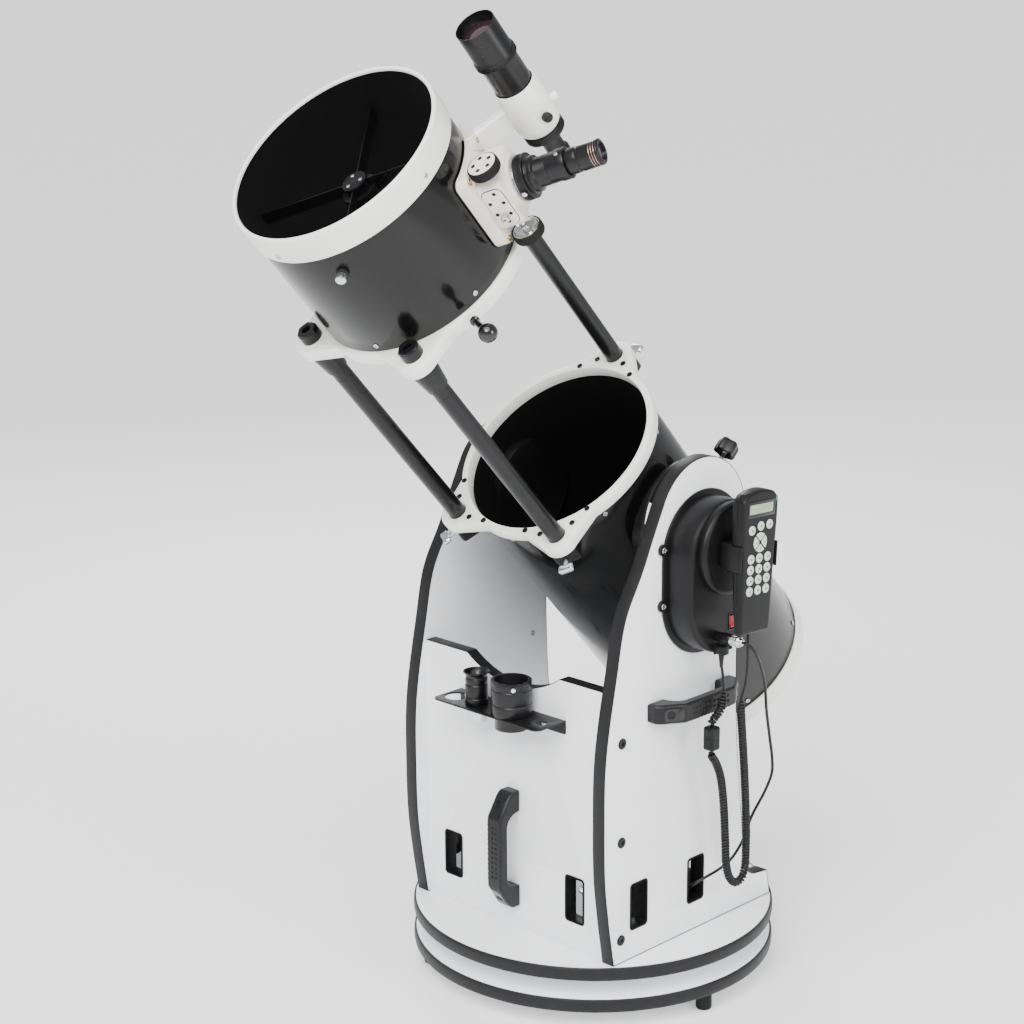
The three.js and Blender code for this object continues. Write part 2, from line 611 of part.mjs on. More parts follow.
// Four-vane spider with the holder of the secondary mirror.
const holderRadius = secondaryRadius - 3;
const vaneReach = tubeInner - gap;
const holderBottom = focuserStation + 10;
const slant = rad(45);
const mirrorNormal = rad(focuserAngle);
const aboveSlant = block(-200, 200, -200, 200, 9, 400).rotateY(-slant).rotateZ(mirrorNormal)
  .translate(0, 0, focuserStation);
const holder = common(rod(holderRadius, holderBottom - 40, spiderStation - 14), aboveSlant);
place(upper, "spider", join(holder, rod(8, spiderStation - 40, spiderStation - 8, fine),
  rod(spiderHubRadius, spiderStation - 20, spiderStation),
  ...[0, 90, 180, 270].map((turn) =>
    block(0, vaneReach, -vaneThickness / 2, vaneThickness / 2, spiderStation - 20, spiderStation - 2)
      .rotateZ(rad(focuserAngle + turn)))), blackSatin);
place(upper, "secondary_mirror", rod(1, -secondaryThickness / 2, secondaryThickness / 2, 36)
  .scale(secondaryRadius * Math.SQRT2, secondaryRadius, 1).translate(0, 0, 4)
  .rotateY(-slant).rotateZ(mirrorNormal).translate(0, 0, focuserStation), mirrorGlass);

// ---- focuser ------------------------------------------------------------------------------------

const baseTop = 208;
const shaftRadius = 4;
const drawBore = drawtubeRadius + runningGap;
place(focuser, "focuser_base", cut(join(
  plateZ(roundedRect(-62, 62, -46, 52, 12), 130, 166),
  plateZ(roundedRect(-40, 40, -36, 46, 10), 160, baseTop - 6),
  rod(36, 180, baseTop)),
  rod(tubeOuter + saddleGap, -80, 80, coarse).rotateY(Math.PI / 2), rod(drawBore, 120, baseTop + 1),
  alongX(rod(shaftRadius + runningGap, -60, 60, fine)).translate(0, shaftOffset, shaftHeight)),
  castCream);

// The drawtube ends in a clamp ring that holds the eyepiece adapter.
const ringLow = baseTop + 4;
const ringHigh = ringLow + 13;
const tubeBore = drawtubeRadius - drawtubeWall;
const adapterBore = barrelRadius + gap;
place(focuser, "drawtube", turned([[tubeBore, 140], [drawtubeRadius, 140],
  [drawtubeRadius, ringLow], [31.5, ringLow], [31.5, ringHigh], [25, ringHigh],
  [25, ringHigh + 10], [20.6, ringHigh + 12], [20.6, 268], [21.8, 268], [21.8, 281],
  [adapterBore, 281], [adapterBore, ringHigh - 18], [tubeBore, ringHigh - 18], [tubeBore, 140]]),
  blackSatin);
const knob = (low) => alongX(rod(focusKnobRadius, low, low + 14));
place(focuser, "focus_shaft", join(alongX(rod(shaftRadius, -56, 60, fine)), knob(54), knob(-68)),
  chromeMetal)
  .position.set(0, shaftOffset, shaftHeight);

place(focuser, "eyepiece", turned([[0, 256], [barrelRadius, 256], [barrelRadius, 281 + gap],
  [18, 281 + gap], [18, 330], [12, 330], [12, 325], [0, 325]], 24), blackSatin);

// ---- finder -------------------------------------------------------------------------------------

// In this group X points out from the tube at the finder's angle.
const finder = new THREE.Group();
finder.rotation.z = rad(finderAngle);
upper.add(finder);
const holderFront = finderFront - 106;
const holderRear = holderFront - 76;
const holderBore = finderTubeRadius + 1.2;
const stemLow = tubeOuter + 14;
const stemHigh = finderDistance - holderBore - 2;
const stem = [point(stemLow, holderRear - 2), point(stemLow, holderRear + 48),
  point(stemHigh, holderRear + 62), point(stemHigh, holderRear + 22)];
place(finder, "finder_bracket", cut(join(
  block(tubeOuter - 10, stemLow + 1, -20, 20, holderRear - 8, holderRear + 58),
  plateXZ(stem, -9, 9),
  turned([[0, holderRear], [29.5, holderRear], [32.5, holderRear + 10], [33, holderRear + 40],
    [30.2, holderFront], [0, holderFront]]).translate(finderDistance, 0, 0)),
  rod(holderBore, holderRear - 1, holderFront + 1).translate(finderDistance, 0, 0),
  rod(tubeOuter + saddleGap, holderRear - 60, holderRear + 100, coarse)), whiteEnamel);
const finderRear = holderRear - 72;
place(finder, "finder_scope", turned([[0, finderFront - 32], [25.5, finderFront - 32],
  [25.5, finderFront], [28.5, finderFront], [28.5, finderFront - 50], [30, finderFront - 50],
  [30, finderFront - 60], [finderTubeRadius, finderFront - 60], [finderTubeRadius, holderRear - 4],
  [29, holderRear - 4], [29, holderRear - 16], [14, holderRear - 18], [14, finderRear + 22],
  [17, finderRear + 22], [17, finderRear], [0, finderRear]], 24), blackSatin)
  .position.set(finderDistance, 0, 0);

// ---- cords on the motor box ---------------------------------------------------------------------

const leadRadius = 2.5;
const curlRadius = 6; // outside of the curly cord
const cableRadius = 2.4;
const plugFace = panelOuter + coverDepth + gap;

// The handset lead leaves its plug downwards, curls past the side handle, hangs in a loop and
// rises to the controller.
const leadTop = [[268, -14, 565.6], [268, -13.5, 550], [268, -10, 533], [268, -7, 512],
  [268, -9, 493.4]];
const curlShort = [[268, -9, 492.6], [268, -13, 480], [267, -25, 470], [266, -31, 464],
  [266, -31, 458]];
const ferrite = { x: 266, y: -31, z: 439, half: 9.5, halfHeight: 18.5 };
const curlLong = [[266, -31, 419.7], [266, -31, 412], [265, -20, 398], [264, -7, 373], [262, 4, 330],
  [260, 13, 262], [259, 18, 219], [259, 27, 195], [259, 41, 183], [260, 54, 186], [261, 61, 204],
  [264, 59, 244], [270, 49, 303], [278, 33, 374], [288, 13, 446], [294, 2, 483]];
const leadEnd = [[294.3, 1.4, 483.8], [298, -1, 503], [302, 1, 525], [304, 2, 550], [305, 1, 575],
  [306, 0.4, 606]];
// The drive cable hangs from its screwed connector into the right panel's slot.
const connectorAt = { y: -14, z: axisZ - 157.9, end: 308 };
const plugTop = axisZ - 169.9;
const plugHeight = 14;
const driveCable = [[308.4, -14, 592], [316, -13, 591], [321, -3, 579], [317, 17, 552],
  [308, 40, 516], [298, 58, 470], [290, 78, 418], [283, 95, 375], [279, 100, 351], [270, 96, 321],
  [258, 80, 281], [246, 70, 235], [238, 54, 210], [233, 36, 200], [224, 8, 190], [214, -4, 181],
  [201, -2, 171], [189, 0, 166], [177.6, 0, 166]];

// A cord's solid is a plain round tube along a smooth curve through points chosen by hand.
function cord(points, radius, steps) {
  const section = new THREE.Shape(circle(0, 0, radius, 8));
  const curve = new THREE.CatmullRomCurve3(points.map((p) => new THREE.Vector3(...p)));
  return new THREE.ExtrudeGeometry(section, { steps, extrudePath: curve, bevelEnabled: false });
}
const cords = new THREE.Group();
rocker.add(cords);
place(cords, "handset_plug", block(plugFace, plugFace + 17, -21, -7,
  plugTop - plugHeight, plugTop), blackPlastic);
place(cords, "handset_lead_top", cord(leadTop, leadRadius, 10), blackRubber);
place(cords, "handset_curl_short", cord(curlShort, curlRadius, 5), blackRubber);
place(cords, "ferrite_block", block(ferrite.x - ferrite.half, ferrite.x + ferrite.half,
  ferrite.y - ferrite.half, ferrite.y + ferrite.half, ferrite.z - ferrite.halfHeight,
  ferrite.z + ferrite.halfHeight), blackPlastic);
place(cords, "handset_curl_long", cord(curlLong, curlRadius, 30), blackRubber);
place(cords, "handset_lead_end", cord(leadEnd, leadRadius, 14), blackRubber);
place(cords, "drive_connector", alongX(turned([[0, plugFace], [9, plugFace], [9, plugFace + 8],
  [7, plugFace + 12], [7, plugFace + 34], [8.5, plugFace + 34], [8.5, connectorAt.end],
  [0, connectorAt.end]], fine)).translate(0, connectorAt.y, connectorAt.z), chromeMetal);
place(cords, "drive_cable", cord(driveCable, cableRadius, 52), blackRubber);

// ---- the part's own frame -----------------------------------------------------------------------

// The origin is the middle of the object's underside, measured without the free cords.
assembly.updateMatrixWorld(true);
const bounds = new THREE.Box3();
assembly.traverse((item) => {
  if (item.isMesh && item.parent !== cords) bounds.expandByObject(item, true);
});
const middle = bounds.getCenter(new THREE.Vector3());
assembly.position.set(-middle.x, -middle.y, -bounds.min.z);

export default assembly;
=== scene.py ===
# A collapsible 254 mm Dobsonian telescope on its motorised rocker base, finished for rendering.
# Pieces are drawn in millimetres in the frame of the assembly that they belong to.
import json
import math

import bmesh
import bpy
import numpy as np
from mathutils import Matrix, Vector
from mathutils.geometry import tessellate_polygon


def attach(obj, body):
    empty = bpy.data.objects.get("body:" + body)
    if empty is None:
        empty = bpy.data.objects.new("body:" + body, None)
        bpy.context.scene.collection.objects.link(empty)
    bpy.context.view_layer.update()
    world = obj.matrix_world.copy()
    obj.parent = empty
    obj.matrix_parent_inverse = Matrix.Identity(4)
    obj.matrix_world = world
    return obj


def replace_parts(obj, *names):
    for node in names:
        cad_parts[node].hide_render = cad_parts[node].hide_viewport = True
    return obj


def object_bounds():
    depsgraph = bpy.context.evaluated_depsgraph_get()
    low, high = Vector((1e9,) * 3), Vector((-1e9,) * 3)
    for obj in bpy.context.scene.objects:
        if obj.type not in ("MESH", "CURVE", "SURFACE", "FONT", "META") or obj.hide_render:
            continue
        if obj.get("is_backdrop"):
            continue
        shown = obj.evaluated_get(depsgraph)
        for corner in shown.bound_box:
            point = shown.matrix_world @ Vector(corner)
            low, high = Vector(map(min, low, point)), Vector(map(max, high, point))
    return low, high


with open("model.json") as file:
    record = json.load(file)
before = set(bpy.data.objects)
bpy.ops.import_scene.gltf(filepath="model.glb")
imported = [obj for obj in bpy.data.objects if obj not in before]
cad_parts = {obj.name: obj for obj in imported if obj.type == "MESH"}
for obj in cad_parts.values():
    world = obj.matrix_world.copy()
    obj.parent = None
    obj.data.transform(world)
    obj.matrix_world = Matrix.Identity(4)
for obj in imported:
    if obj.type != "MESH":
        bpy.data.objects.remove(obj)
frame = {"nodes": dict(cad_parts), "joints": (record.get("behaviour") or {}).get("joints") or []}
cad_low, cad_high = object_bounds()

# ---- where the assemblies stand -----------------------------------------------------------------
# The base turns about its bolt, and the tube tilts on an axis through both side panels.
# Each frame takes millimetres, so that a piece is drawn with its real sizes.

joints = {joint["name"]: joint for joint in frame["joints"]}


def axes(origin, x, z):
    """The frame in millimetres about origin, with its X and Z along the two directions."""
    x, z = Vector(x).normalized(), Vector(z).normalized()
    turned_to = Matrix((x, z.cross(x), z)).transposed().to_4x4()
    return Matrix.Translation(origin) @ turned_to @ Matrix.Scale(0.001, 4)


def reach(node, where):
    """The lowest and highest corner of a node, in millimetres in one of these frames."""
    back = where.inverted()
    corners = np.array([back @ v.co for v in frame["nodes"][node].data.vertices])
    return Vector(corners.min(0)), Vector(corners.max(0))


ACROSS = Vector((1, 0, 0))
pivot = Vector(joints["azimuth_turn"]["pos_m"])
base = axes((pivot.x, pivot.y, 0), ACROSS, (0, 0, 1))
along_tube = Vector(joints["truss_slide"]["axis"])
tube = axes(joints["altitude_tilt"]["pos_m"], ACROSS, along_tube)
altitude_y, altitude_z = (base.inverted() @ Vector(joints["altitude_tilt"]["pos_m"])).yz

# ---- floor, light and camera --------------------------------------------------------------------
# A pale sweep under a large softbox on each side, with a long lens on a tall stand.
# None of it belongs to the telescope.


def linear(hex_colour):
    """An sRGB colour such as "f0efeb" as linear red, green, blue and alpha."""
    shares = [int(hex_colour[i : i + 2], 16) / 255 for i in (0, 2, 4)]
    curve = [s / 12.92 if s <= 0.04045 else ((s + 0.055) / 1.055) ** 2.4 for s in shares]
    return (*curve, 1.0)


def add(tree, kind, settings=None, links=None):
    """Adds a node with its properties or input values, and the sockets that feed it."""
    node = tree.nodes.new(kind)
    for key, value in (settings or {}).items():
        if isinstance(key, str) and hasattr(node, key):
            setattr(node, key, value)
        else:
            node.inputs[key].default_value = value
    for key, socket in (links or {}).items():
        tree.links.new(socket, node.inputs[key])
    return node


def begin(name, colour, settings):
    """A new finish: its material, node tree, shader and the coordinates that patterns read."""
    material = bpy.data.materials.new(name)
    material.use_nodes = True
    tree = material.node_tree
    shader = tree.nodes["Principled BSDF"]
    shader.inputs["Base Color"].default_value = linear(colour)
    for key, value in settings.items():
        shader.inputs[key].default_value = value
    return material, tree, shader, add(tree, "ShaderNodeTexCoord").outputs["Object"]


world = bpy.data.worlds.new("studio")
bpy.context.scene.world = world
world.use_nodes = True
world.node_tree.nodes["Background"].inputs["Color"].default_value = linear("f6f7fa")
world.node_tree.nodes["Background"].inputs["Strength"].default_value = 0.75

backdrop_finish, tree, shader, where = begin("pale_paper_backdrop", "ffffff", {"Roughness": 0.9})
paper = add(tree, "ShaderNodeTexNoise", {"Scale": 40.0, "Detail": 3.0}, {"Vector": where})
shade = add(tree, "ShaderNodeMix", {"data_type": "RGBA", 6: linear("fbfbfb"), 7: linear("ffffff")},
            {0: paper.outputs["Fac"]})
tree.links.new(shade.outputs[2], shader.inputs["Base Color"])
floor_half = 80.0
floor_mesh = bpy.data.meshes.new("floor")
floor_mesh.from_pydata([(-floor_half, -floor_half, 0), (floor_half, -floor_half, 0),
                        (floor_half, floor_half, 0), (-floor_half, floor_half, 0)], [], [(0, 1, 2, 3)])
floor_mesh.materials.append(backdrop_finish)
floor = bpy.data.objects.new("floor", floor_mesh)
bpy.context.scene.collection.objects.link(floor)
floor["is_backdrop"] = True


def softbox(name, place, aim, size, power):
    """A square area light at a place, turned to its aim."""
    light = bpy.data.lights.new(name, "AREA")
    light.size, light.energy = size, power
    box = bpy.data.objects.new(name, light)
    box.location = place
    box.rotation_euler = (Vector(aim) - Vector(place)).to_track_quat("-Z", "Y").to_euler()
    bpy.context.scene.collection.objects.link(box)


sun = bpy.data.lights.new("ceiling_light", "SUN")
sun.energy, sun.angle = 3.3, math.radians(60)
high_light = bpy.data.objects.new("ceiling_light", sun)
high_light.rotation_euler = (math.radians(38), math.radians(8), math.radians(20))
bpy.context.scene.collection.objects.link(high_light)
middle = (cad_low + cad_high) / 2
softbox("key_light", (1.2, -2.6, 3.0), middle, 1.6, 95)
softbox("side_light", (3.2, 0.2, 1.8), middle, 1.4, 50)
softbox("back_light", (-2.4, 1.6, 2.6), middle, 1.6, 70)

lens_data = bpy.data.cameras.new("camera")
lens_data.lens, lens_data.sensor_width = 79.35, 36
lens_data.clip_end = 300
camera = bpy.data.objects.new("camera", lens_data)
swing, dip, lean = math.radians(44.42), math.radians(14.29), math.radians(-0.32)
to_right = Vector((math.cos(swing), math.sin(swing), 0))
away = Vector((-math.sin(swing) * math.cos(dip), math.cos(swing) * math.cos(dip), -math.sin(dip)))
upward = to_right.cross(away)
right_edge = math.cos(lean) * to_right + math.sin(lean) * upward
top_edge = right_edge.cross(away)
camera.matrix_world = Matrix.Translation(base @ Vector((2272.3, -2499.6, 1594.0))) @ Matrix(
    (right_edge, top_edge, -away)).transposed().to_4x4()
bpy.context.scene.collection.objects.link(camera)
bpy.context.scene.camera = camera

# ---- handset cord and drive cable ---------------------------------------------------------------
# Black PVC cords. The handset's is one wire: straight at its plug, wound into a curly cord above
# and below a ferrite block, and straight again where it rises into the hand controller.


def mottled(tree, shader, where, colours, patch_mm, gloss):
    """Patches of two colours and two roughnesses, a given size across."""
    cloud = add(tree, "ShaderNodeTexNoise", {"Scale": 1000 / patch_mm, "Detail": 3.0}, {"Vector": where})
    mix = add(tree, "ShaderNodeMix", {"data_type": "RGBA", 6: linear(colours[0]), 7: linear(colours[1])},
              {0: cloud.outputs["Fac"]})
    tree.links.new(mix.outputs[2], shader.inputs["Base Color"])
    rough = add(tree, "ShaderNodeMapRange", {"To Min": gloss[0], "To Max": gloss[1]},
                {"Value": cloud.outputs["Fac"]})
    tree.links.new(rough.outputs["Result"], shader.inputs["Roughness"])


def pebbled(tree, shader, where, grain_mm, height_mm):
    """A fine raised grain, one grain across every grain_mm."""
    grain = add(tree, "ShaderNodeTexNoise", {"Scale": 1000 / grain_mm, "Detail": 1.0}, {"Vector": where})
    bump = add(tree, "ShaderNodeBump", {"Distance": height_mm / 1000, "Strength": 1.0},
               {"Height": grain.outputs["Fac"]})
    tree.links.new(bump.outputs["Normal"], shader.inputs["Normal"])


def coat(name, colour, settings, tones, patch_mm, gloss, grain=()):
    """A finish mottled in two tones, with a raised grain where one is given."""
    material, tree, shader, where = begin(name, colour, settings)
    mottled(tree, shader, where, tones, patch_mm, gloss)
    if grain:
        pebbled(tree, shader, where, *grain)
    return material


# Extruded PVC wire: nearly black, with the soft shine that its slight stickiness gives.
cord_pvc = coat("extruded_black_pvc", "0c0c0c", {"Specular IOR Level": 0.3},
                ("080809", "0f0f10"), 9, (0.28, 0.42), (1.2, 0.02))

WIRE = 4.4  # diameter of the handset wire
CURL = 4.6  # radius of its turns, at the wire's middle
PITCH = 5.0
PER_TURN = 12
handset_route = [
    ((268, -14, 565.6), 0), ((268, -13.5, 550), 0), ((268, -10, 533), 0), ((268, -7, 512), 0),
    ((268, -9, 492.6), 1), ((268, -13, 480), 1), ((267, -25, 470), 1), ((266, -31, 464), 1),
    ((266, -31, 458), 0), ((266, -31, 439), 0), ((266, -31, 419.7), 0), ((266, -31, 412), 1),
    ((265, -20, 398), 1), ((264, -7, 373), 1), ((262, 4, 330), 1), ((260, 13, 262), 1),
    ((259, 18, 219), 1), ((259, 27, 195), 1), ((259, 41, 183), 1), ((260, 54, 186), 1),
    ((261, 61, 204), 1), ((264, 59, 244), 1), ((270, 49, 303), 1), ((278, 33, 374), 1),
    ((288, 13, 446), 1), ((294, 2, 483), 1), ((298, -1, 503), 0), ((302, 1, 525), 0),
    ((304, 2, 550), 0), ((305, 1, 575), 0), ((306, 0.4, 606), 0)]
drive_route = [(308.4, -14, 592), (316, -13, 591), (321, -3, 579), (317, 17, 552), (308, 40, 516),
               (298, 58, 470), (290, 78, 418), (283, 95, 375), (279, 100, 351), (270, 96, 321),
               (258, 80, 281), (246, 70, 235), (238, 54, 210), (233, 36, 200), (224, 8, 190),
               (214, -4, 181), (201, -2, 171), (189, 0, 166), (177.6, 0, 166)]


def smooth_line(points, step):
    """Points about a step apart on a smooth curve through the given ones, of any dimension."""
    points = np.array(points, float)
    knots = np.concatenate([[0], np.cumsum(np.linalg.norm(np.diff(points, axis=0), axis=1) ** 0.5)])
    slopes = np.gradient(points, knots, axis=0)
    line = []
    for i in range(len(points) - 1):
        span = knots[i + 1] - knots[i]
        count = max(2, round(np.linalg.norm(points[i + 1] - points[i]) / step))
        for t in np.arange(count) / count:
            line.append((2 * t**3 - 3 * t**2 + 1) * points[i] + (t**3 - 2 * t**2 + t) * span * slopes[i]
                        + (3 * t**2 - 2 * t**3) * points[i + 1] + (t**3 - t**2) * span * slopes[i + 1])
    return np.array([*line, points[-1]])


def wound(route):
    """The wire's own line: it circles the route wherever the route is marked as curled."""
    line = smooth_line([(*place, curl) for place, curl in route], PITCH / PER_TURN)
    side, angle, wire = Vector((1, 0, 0)), 0.0, []
    for here, after in zip(line, line[1:]):
        ahead = Vector(after[:3]) - Vector(here[:3])
        side = (side - ahead * side.dot(ahead) / ahead.length_squared).normalized()
        curl = float(min(1, max(0, here[3])))
        angle += 2 * math.pi * ahead.length / PITCH * (curl > 0.02)
        up = ahead.normalized().cross(side)
        wire.append(Vector(here[:3]) + CURL * curl * (math.cos(angle) * side + math.sin(angle) * up))
    return [*wire, Vector(line[-1][:3])]


def cord(name, line, diameter):
    """A round cord along a line of points in the base's frame."""
    curve = bpy.data.curves.new(name, "CURVE")
    curve.dimensions = "3D"
    curve.bevel_depth = diameter / 2000
    curve.bevel_resolution = 2
    curve.use_fill_caps = True
    spline = curve.splines.new("POLY")
    spline.points.add(len(line) - 1)
    for point, place in zip(spline.points, line):
        point.co = (*(base @ Vector(place)), 1)
    curve.materials.append(cord_pvc)
    piece = bpy.data.objects.new(name, curve)
    bpy.context.scene.collection.objects.link(piece)
    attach(piece, "rocker")
    return piece


def length_of(line):
    """The length in metres of a line in millimetres."""
    return sum((Vector(b) - Vector(a)).length for a, b in zip(line, line[1:])) / 1000


handset_line = wound(handset_route)
handset_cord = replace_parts(cord("handset_cord", handset_line, WIRE), "handset_lead_top",
                           "handset_curl_short", "handset_curl_long", "handset_lead_end")
drive_line = smooth_line(drive_route, 5)
drive_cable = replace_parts(cord("drive_cable_cord", drive_line, 4.8), "drive_cable")
length_of(drive_line)

# ---- ground board, feet and azimuth bearing -----------------------------------------------------
# A round chipboard disc faced with white melamine, with black edging pressed on its rim. It stands
# on three rubber feet, and the turning board rides on a bearing ring round a bolt.


def evenly(count):
    """Angles spaced evenly round a full turn."""
    return [2 * math.pi * i / count for i in range(count)]


def turned(profile, segments=96):
    """A lathe-turned body about Z, from [radius, height] pairs round a loop or from axis to axis."""
    points, rings, faces = [], [], []
    for radius, height in profile:
        spots = [(radius * math.cos(a), radius * math.sin(a), height) for a in evenly(segments)]
        spots = spots if radius > 1e-6 else [(0, 0, height)]
        rings.append(range(len(points), len(points) + len(spots)))
        points += spots
    pairs = list(zip(rings, rings[1:]))
    if len(rings[0]) > 1:
        pairs.append((rings[-1], rings[0]))
    for low, high in pairs:
        for i in range(segments):
            j = (i + 1) % segments
            corners = [low[i % len(low)], low[j % len(low)], high[j % len(high)], high[i % len(high)]]
            faces.append(list(dict.fromkeys(corners)))
    return points, [face for face in faces if len(face) > 2]


def eased(profile, radius):
    """A profile from axis to axis or round a loop, with its corners cut back by two facets."""
    loop = profile[0][0] > 1e-6
    count, done = len(profile), []
    for i, corner in enumerate(profile):
        if not loop and i in (0, count - 1):
            done.append(corner)
            continue
        at = Vector(corner)
        before, after = Vector(profile[i - 1]) - at, Vector(profile[(i + 1) % count]) - at
        cut = min(radius, 0.4 * before.length, 0.4 * after.length)
        start, end = at + before.normalized() * cut, at + after.normalized() * cut
        done += [start, (start + 2 * at + end) / 4, end]
    return [tuple(p) for p in done]


def make(name, shape, place, finish):
    """A piece from points in a frame's millimetres and faces, smooth but for its edges."""
    points, faces = shape
    mesh = bpy.data.meshes.new(name)
    mesh.from_pydata([place @ Vector(p) for p in points], [], faces)
    shell = bmesh.new()
    shell.from_mesh(mesh)
    bmesh.ops.recalc_face_normals(shell, faces=shell.faces)
    shell.to_mesh(mesh)
    shell.free()
    mesh.shade_smooth()
    mesh.set_sharp_from_angle(angle=math.radians(24))
    mesh.materials.append(finish)
    piece = bpy.data.objects.new(name, mesh)
    bpy.context.scene.collection.objects.link(piece)
    return piece


def fitted(piece, body, slot, *stands_for):
    """Puts a piece on its body and hides the solids that it stands for. Its slot is not used."""
    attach(piece, body)
    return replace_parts(piece, *stands_for) if stands_for else piece


# Melamine laminate: hard white paper resin, pressed with a shallow pebble that breaks up its shine.
laminate = coat("pebbled_white_melamine", "eceef0", {"IOR": 1.5},
                ("f0f1f4", "f7f8fa"), 60, (0.42, 0.52), (1.6, 0.035))

# PVC edging: charcoal, with a satin skin from the roller that presses it on.
edging = coat("charcoal_pvc_edging", "191919", {"Specular IOR Level": 0.25},
              ("151516", "1d1d1e"), 25, (0.4, 0.55), (1.1, 0.03))

# Foot rubber: dull black, cured in a plain mould.
foot_rubber = coat("moulded_foot_rubber", "121212", {"Specular IOR Level": 0.25},
                   ("0e0e0e", "151515"), 6, (0.6, 0.8), (1.0, 0.05))

# Acetal bearing race: milky white plastic with a faint turned sheen.
bearing_acetal = coat("turned_white_acetal", "e6e6ee", {"IOR": 1.48},
                      ("e0e0ea", "ededf2"), 12, (0.35, 0.5))

# Zinc plating on steel bolts: bright, faintly cloudy.
zinc_plate = coat("bright_zinc_plate", "c6c8ca", {"Metallic": 1.0},
                  ("bcbec1", "d2d3d5"), 5, (0.16, 0.3))

EDGING = 3.3  # how far the boards' edging stands out


def board(name, node, body):
    """A white disc of the node's size and the black edging round it."""
    low, high = reach(node, base)
    radius, bottom, top = high.x, low.z, high.z
    face = eased([(0, bottom), (radius - EDGING, bottom), (radius - EDGING, top), (0, top)], 0.4)
    fitted(make(name, turned(face, 180), base, laminate), body, "white_laminate", node)
    mid = (bottom + top) / 2
    rim = [(radius - EDGING - 0.5, bottom - 0.3), (radius - 1.6, bottom - 0.3),
           (radius - 0.5, bottom + 1.4), (radius + 0.1, bottom + 5), (radius + 0.3, mid),
           (radius + 0.1, top - 5), (radius - 0.5, top - 1.4), (radius - 1.6, top + 0.3),
           (radius - EDGING - 0.5, top + 0.3)]
    fitted(make(name + "_edging", turned(rim, 180), base, edging), body, "black_plastic")


board("ground_board_white", "ground_board", "ground")
for number in (1, 2, 3):
    node = f"foot_{number}"
    low, high = reach(node, base)
    x, y, radius = (low.x + high.x) / 2, (low.y + high.y) / 2, (high.y - low.y) / 2
    foot = eased([(0, 0), (radius - 1, 0), (radius, 4), (radius - 0.4, high.z - 6), (radius, high.z - 4),
                  (radius, high.z), (0, high.z)], 1.6)
    fitted(make(node + "_rubber", turned(foot, 48), base @ Matrix.Translation((x, y, 0)), foot_rubber),
           "ground", "foot_rubber", node)
low, high = reach("azimuth_bearing_ring", base)
RACE_WIDTH = 40
race_inner = high.x - RACE_WIDTH
race = eased([(race_inner, low.z), (high.x, low.z), (high.x, high.z), (race_inner, high.z)], 1.5)
fitted(make("bearing_race", turned(race), base, bearing_acetal), "ground", "bearing_plastic",
       "azimuth_bearing_ring")
low, high = reach("azimuth_pivot_bolt", base)
# Shank, washer and a head with a round socket, from the bottom up.
bolt = eased([(0, low.z), (10, low.z), (10, high.z - 9), (22, high.z - 9), (22, high.z - 7),
              (16, high.z - 7), (14, high.z), (5, high.z), (5, high.z - 4), (0, high.z - 4)], 0.7)
fitted(make("pivot_bolt", turned(bolt, 48), base, zinc_plate), "ground", "chrome", "azimuth_pivot_bolt")

# ---- turning board and azimuth drive ------------------------------------------------------------
# The same disc again, which carries the panels, and the moulded drive box behind the front panel.

board("turning_board_white", "turning_board", "rocker")


def arc(x, y, radius, start, end, steps):
    """Points on a circle's arc, with its angles in degrees."""
    return [(x + radius * math.cos(math.radians(start + (end - start) * i / steps)),
             y + radius * math.sin(math.radians(start + (end - start) * i / steps)))
            for i in range(steps + 1)]


def circle(radius, sides, x=0, y=0):
    """Points all the way round a circle."""
    return arc(x, y, radius, 0, 360, sides)[:-1]


def rounded(x0, x1, y0, y1, radius, steps=6):
    """A rectangle with round corners."""
    return (arc(x1 - radius, y0 + radius, radius, -90, 0, steps)
            + arc(x1 - radius, y1 - radius, radius, 0, 90, steps)
            + arc(x0 + radius, y1 - radius, radius, 90, 180, steps)
            + arc(x0 + radius, y0 + radius, radius, 180, 270, steps))


def inset(outline, distance):
    """An anticlockwise outline moved inwards, with its corners kept."""
    moved, count = [], len(outline)
    for i, corner in enumerate(outline):
        at = Vector(corner)
        before = (at - Vector(outline[i - 1])).normalized()
        after = (Vector(outline[(i + 1) % count]) - at).normalized()
        normal = Vector((-before.y - after.y, before.x + after.x))
        moved.append(tuple(at + normal * distance / max(0.4, 1 + before.dot(after))))
    return moved


def layered(outline, profile, holes=(), hole_ease=1):
    """A body through copies of an outline: profile gives each copy's inset and height."""
    points, faces, ends = [], [], [[], []]
    for loop, sign in [(outline, 1), *[(hole, -hole_ease) for hole in holes]]:
        rings = []
        for distance, height in profile:
            ring = inset(loop, sign * distance)
            rings.append(range(len(points), len(points) + len(ring)))
            points += [(x, y, height) for x, y in ring]
        for low, high in zip(rings, rings[1:]):
            faces += [[low[i - 1], low[i], high[i], high[i - 1]] for i in range(len(low))]
        ends[0].append(rings[0])
        ends[1].append(rings[-1])
    for loops in ends:
        flat = [i for ring in loops for i in ring]
        capped = tessellate_polygon([[Vector(points[i]) for i in ring] for ring in loops])
        faces += [[flat[i] for i in face] for face in capped]
    return points, faces


def plate(outline, low, high, ease=0.8, holes=()):
    """An outline given thickness, with its edges eased."""
    return layered(outline, [(ease, low), (ease * 0.3, low + ease * 0.3), (0, low + ease),
                             (0, high - ease), (ease * 0.3, high - ease * 0.3), (ease, high)], holes)


# Spark-textured ABS: black, with a fine matt grain from the mould that spreads every highlight.
moulded_abs = coat("spark_textured_abs", "0f0f10", {"Specular IOR Level": 0.22},
                   ("0c0c0d", "131314"), 30, (0.34, 0.44), (0.9, 0.03))

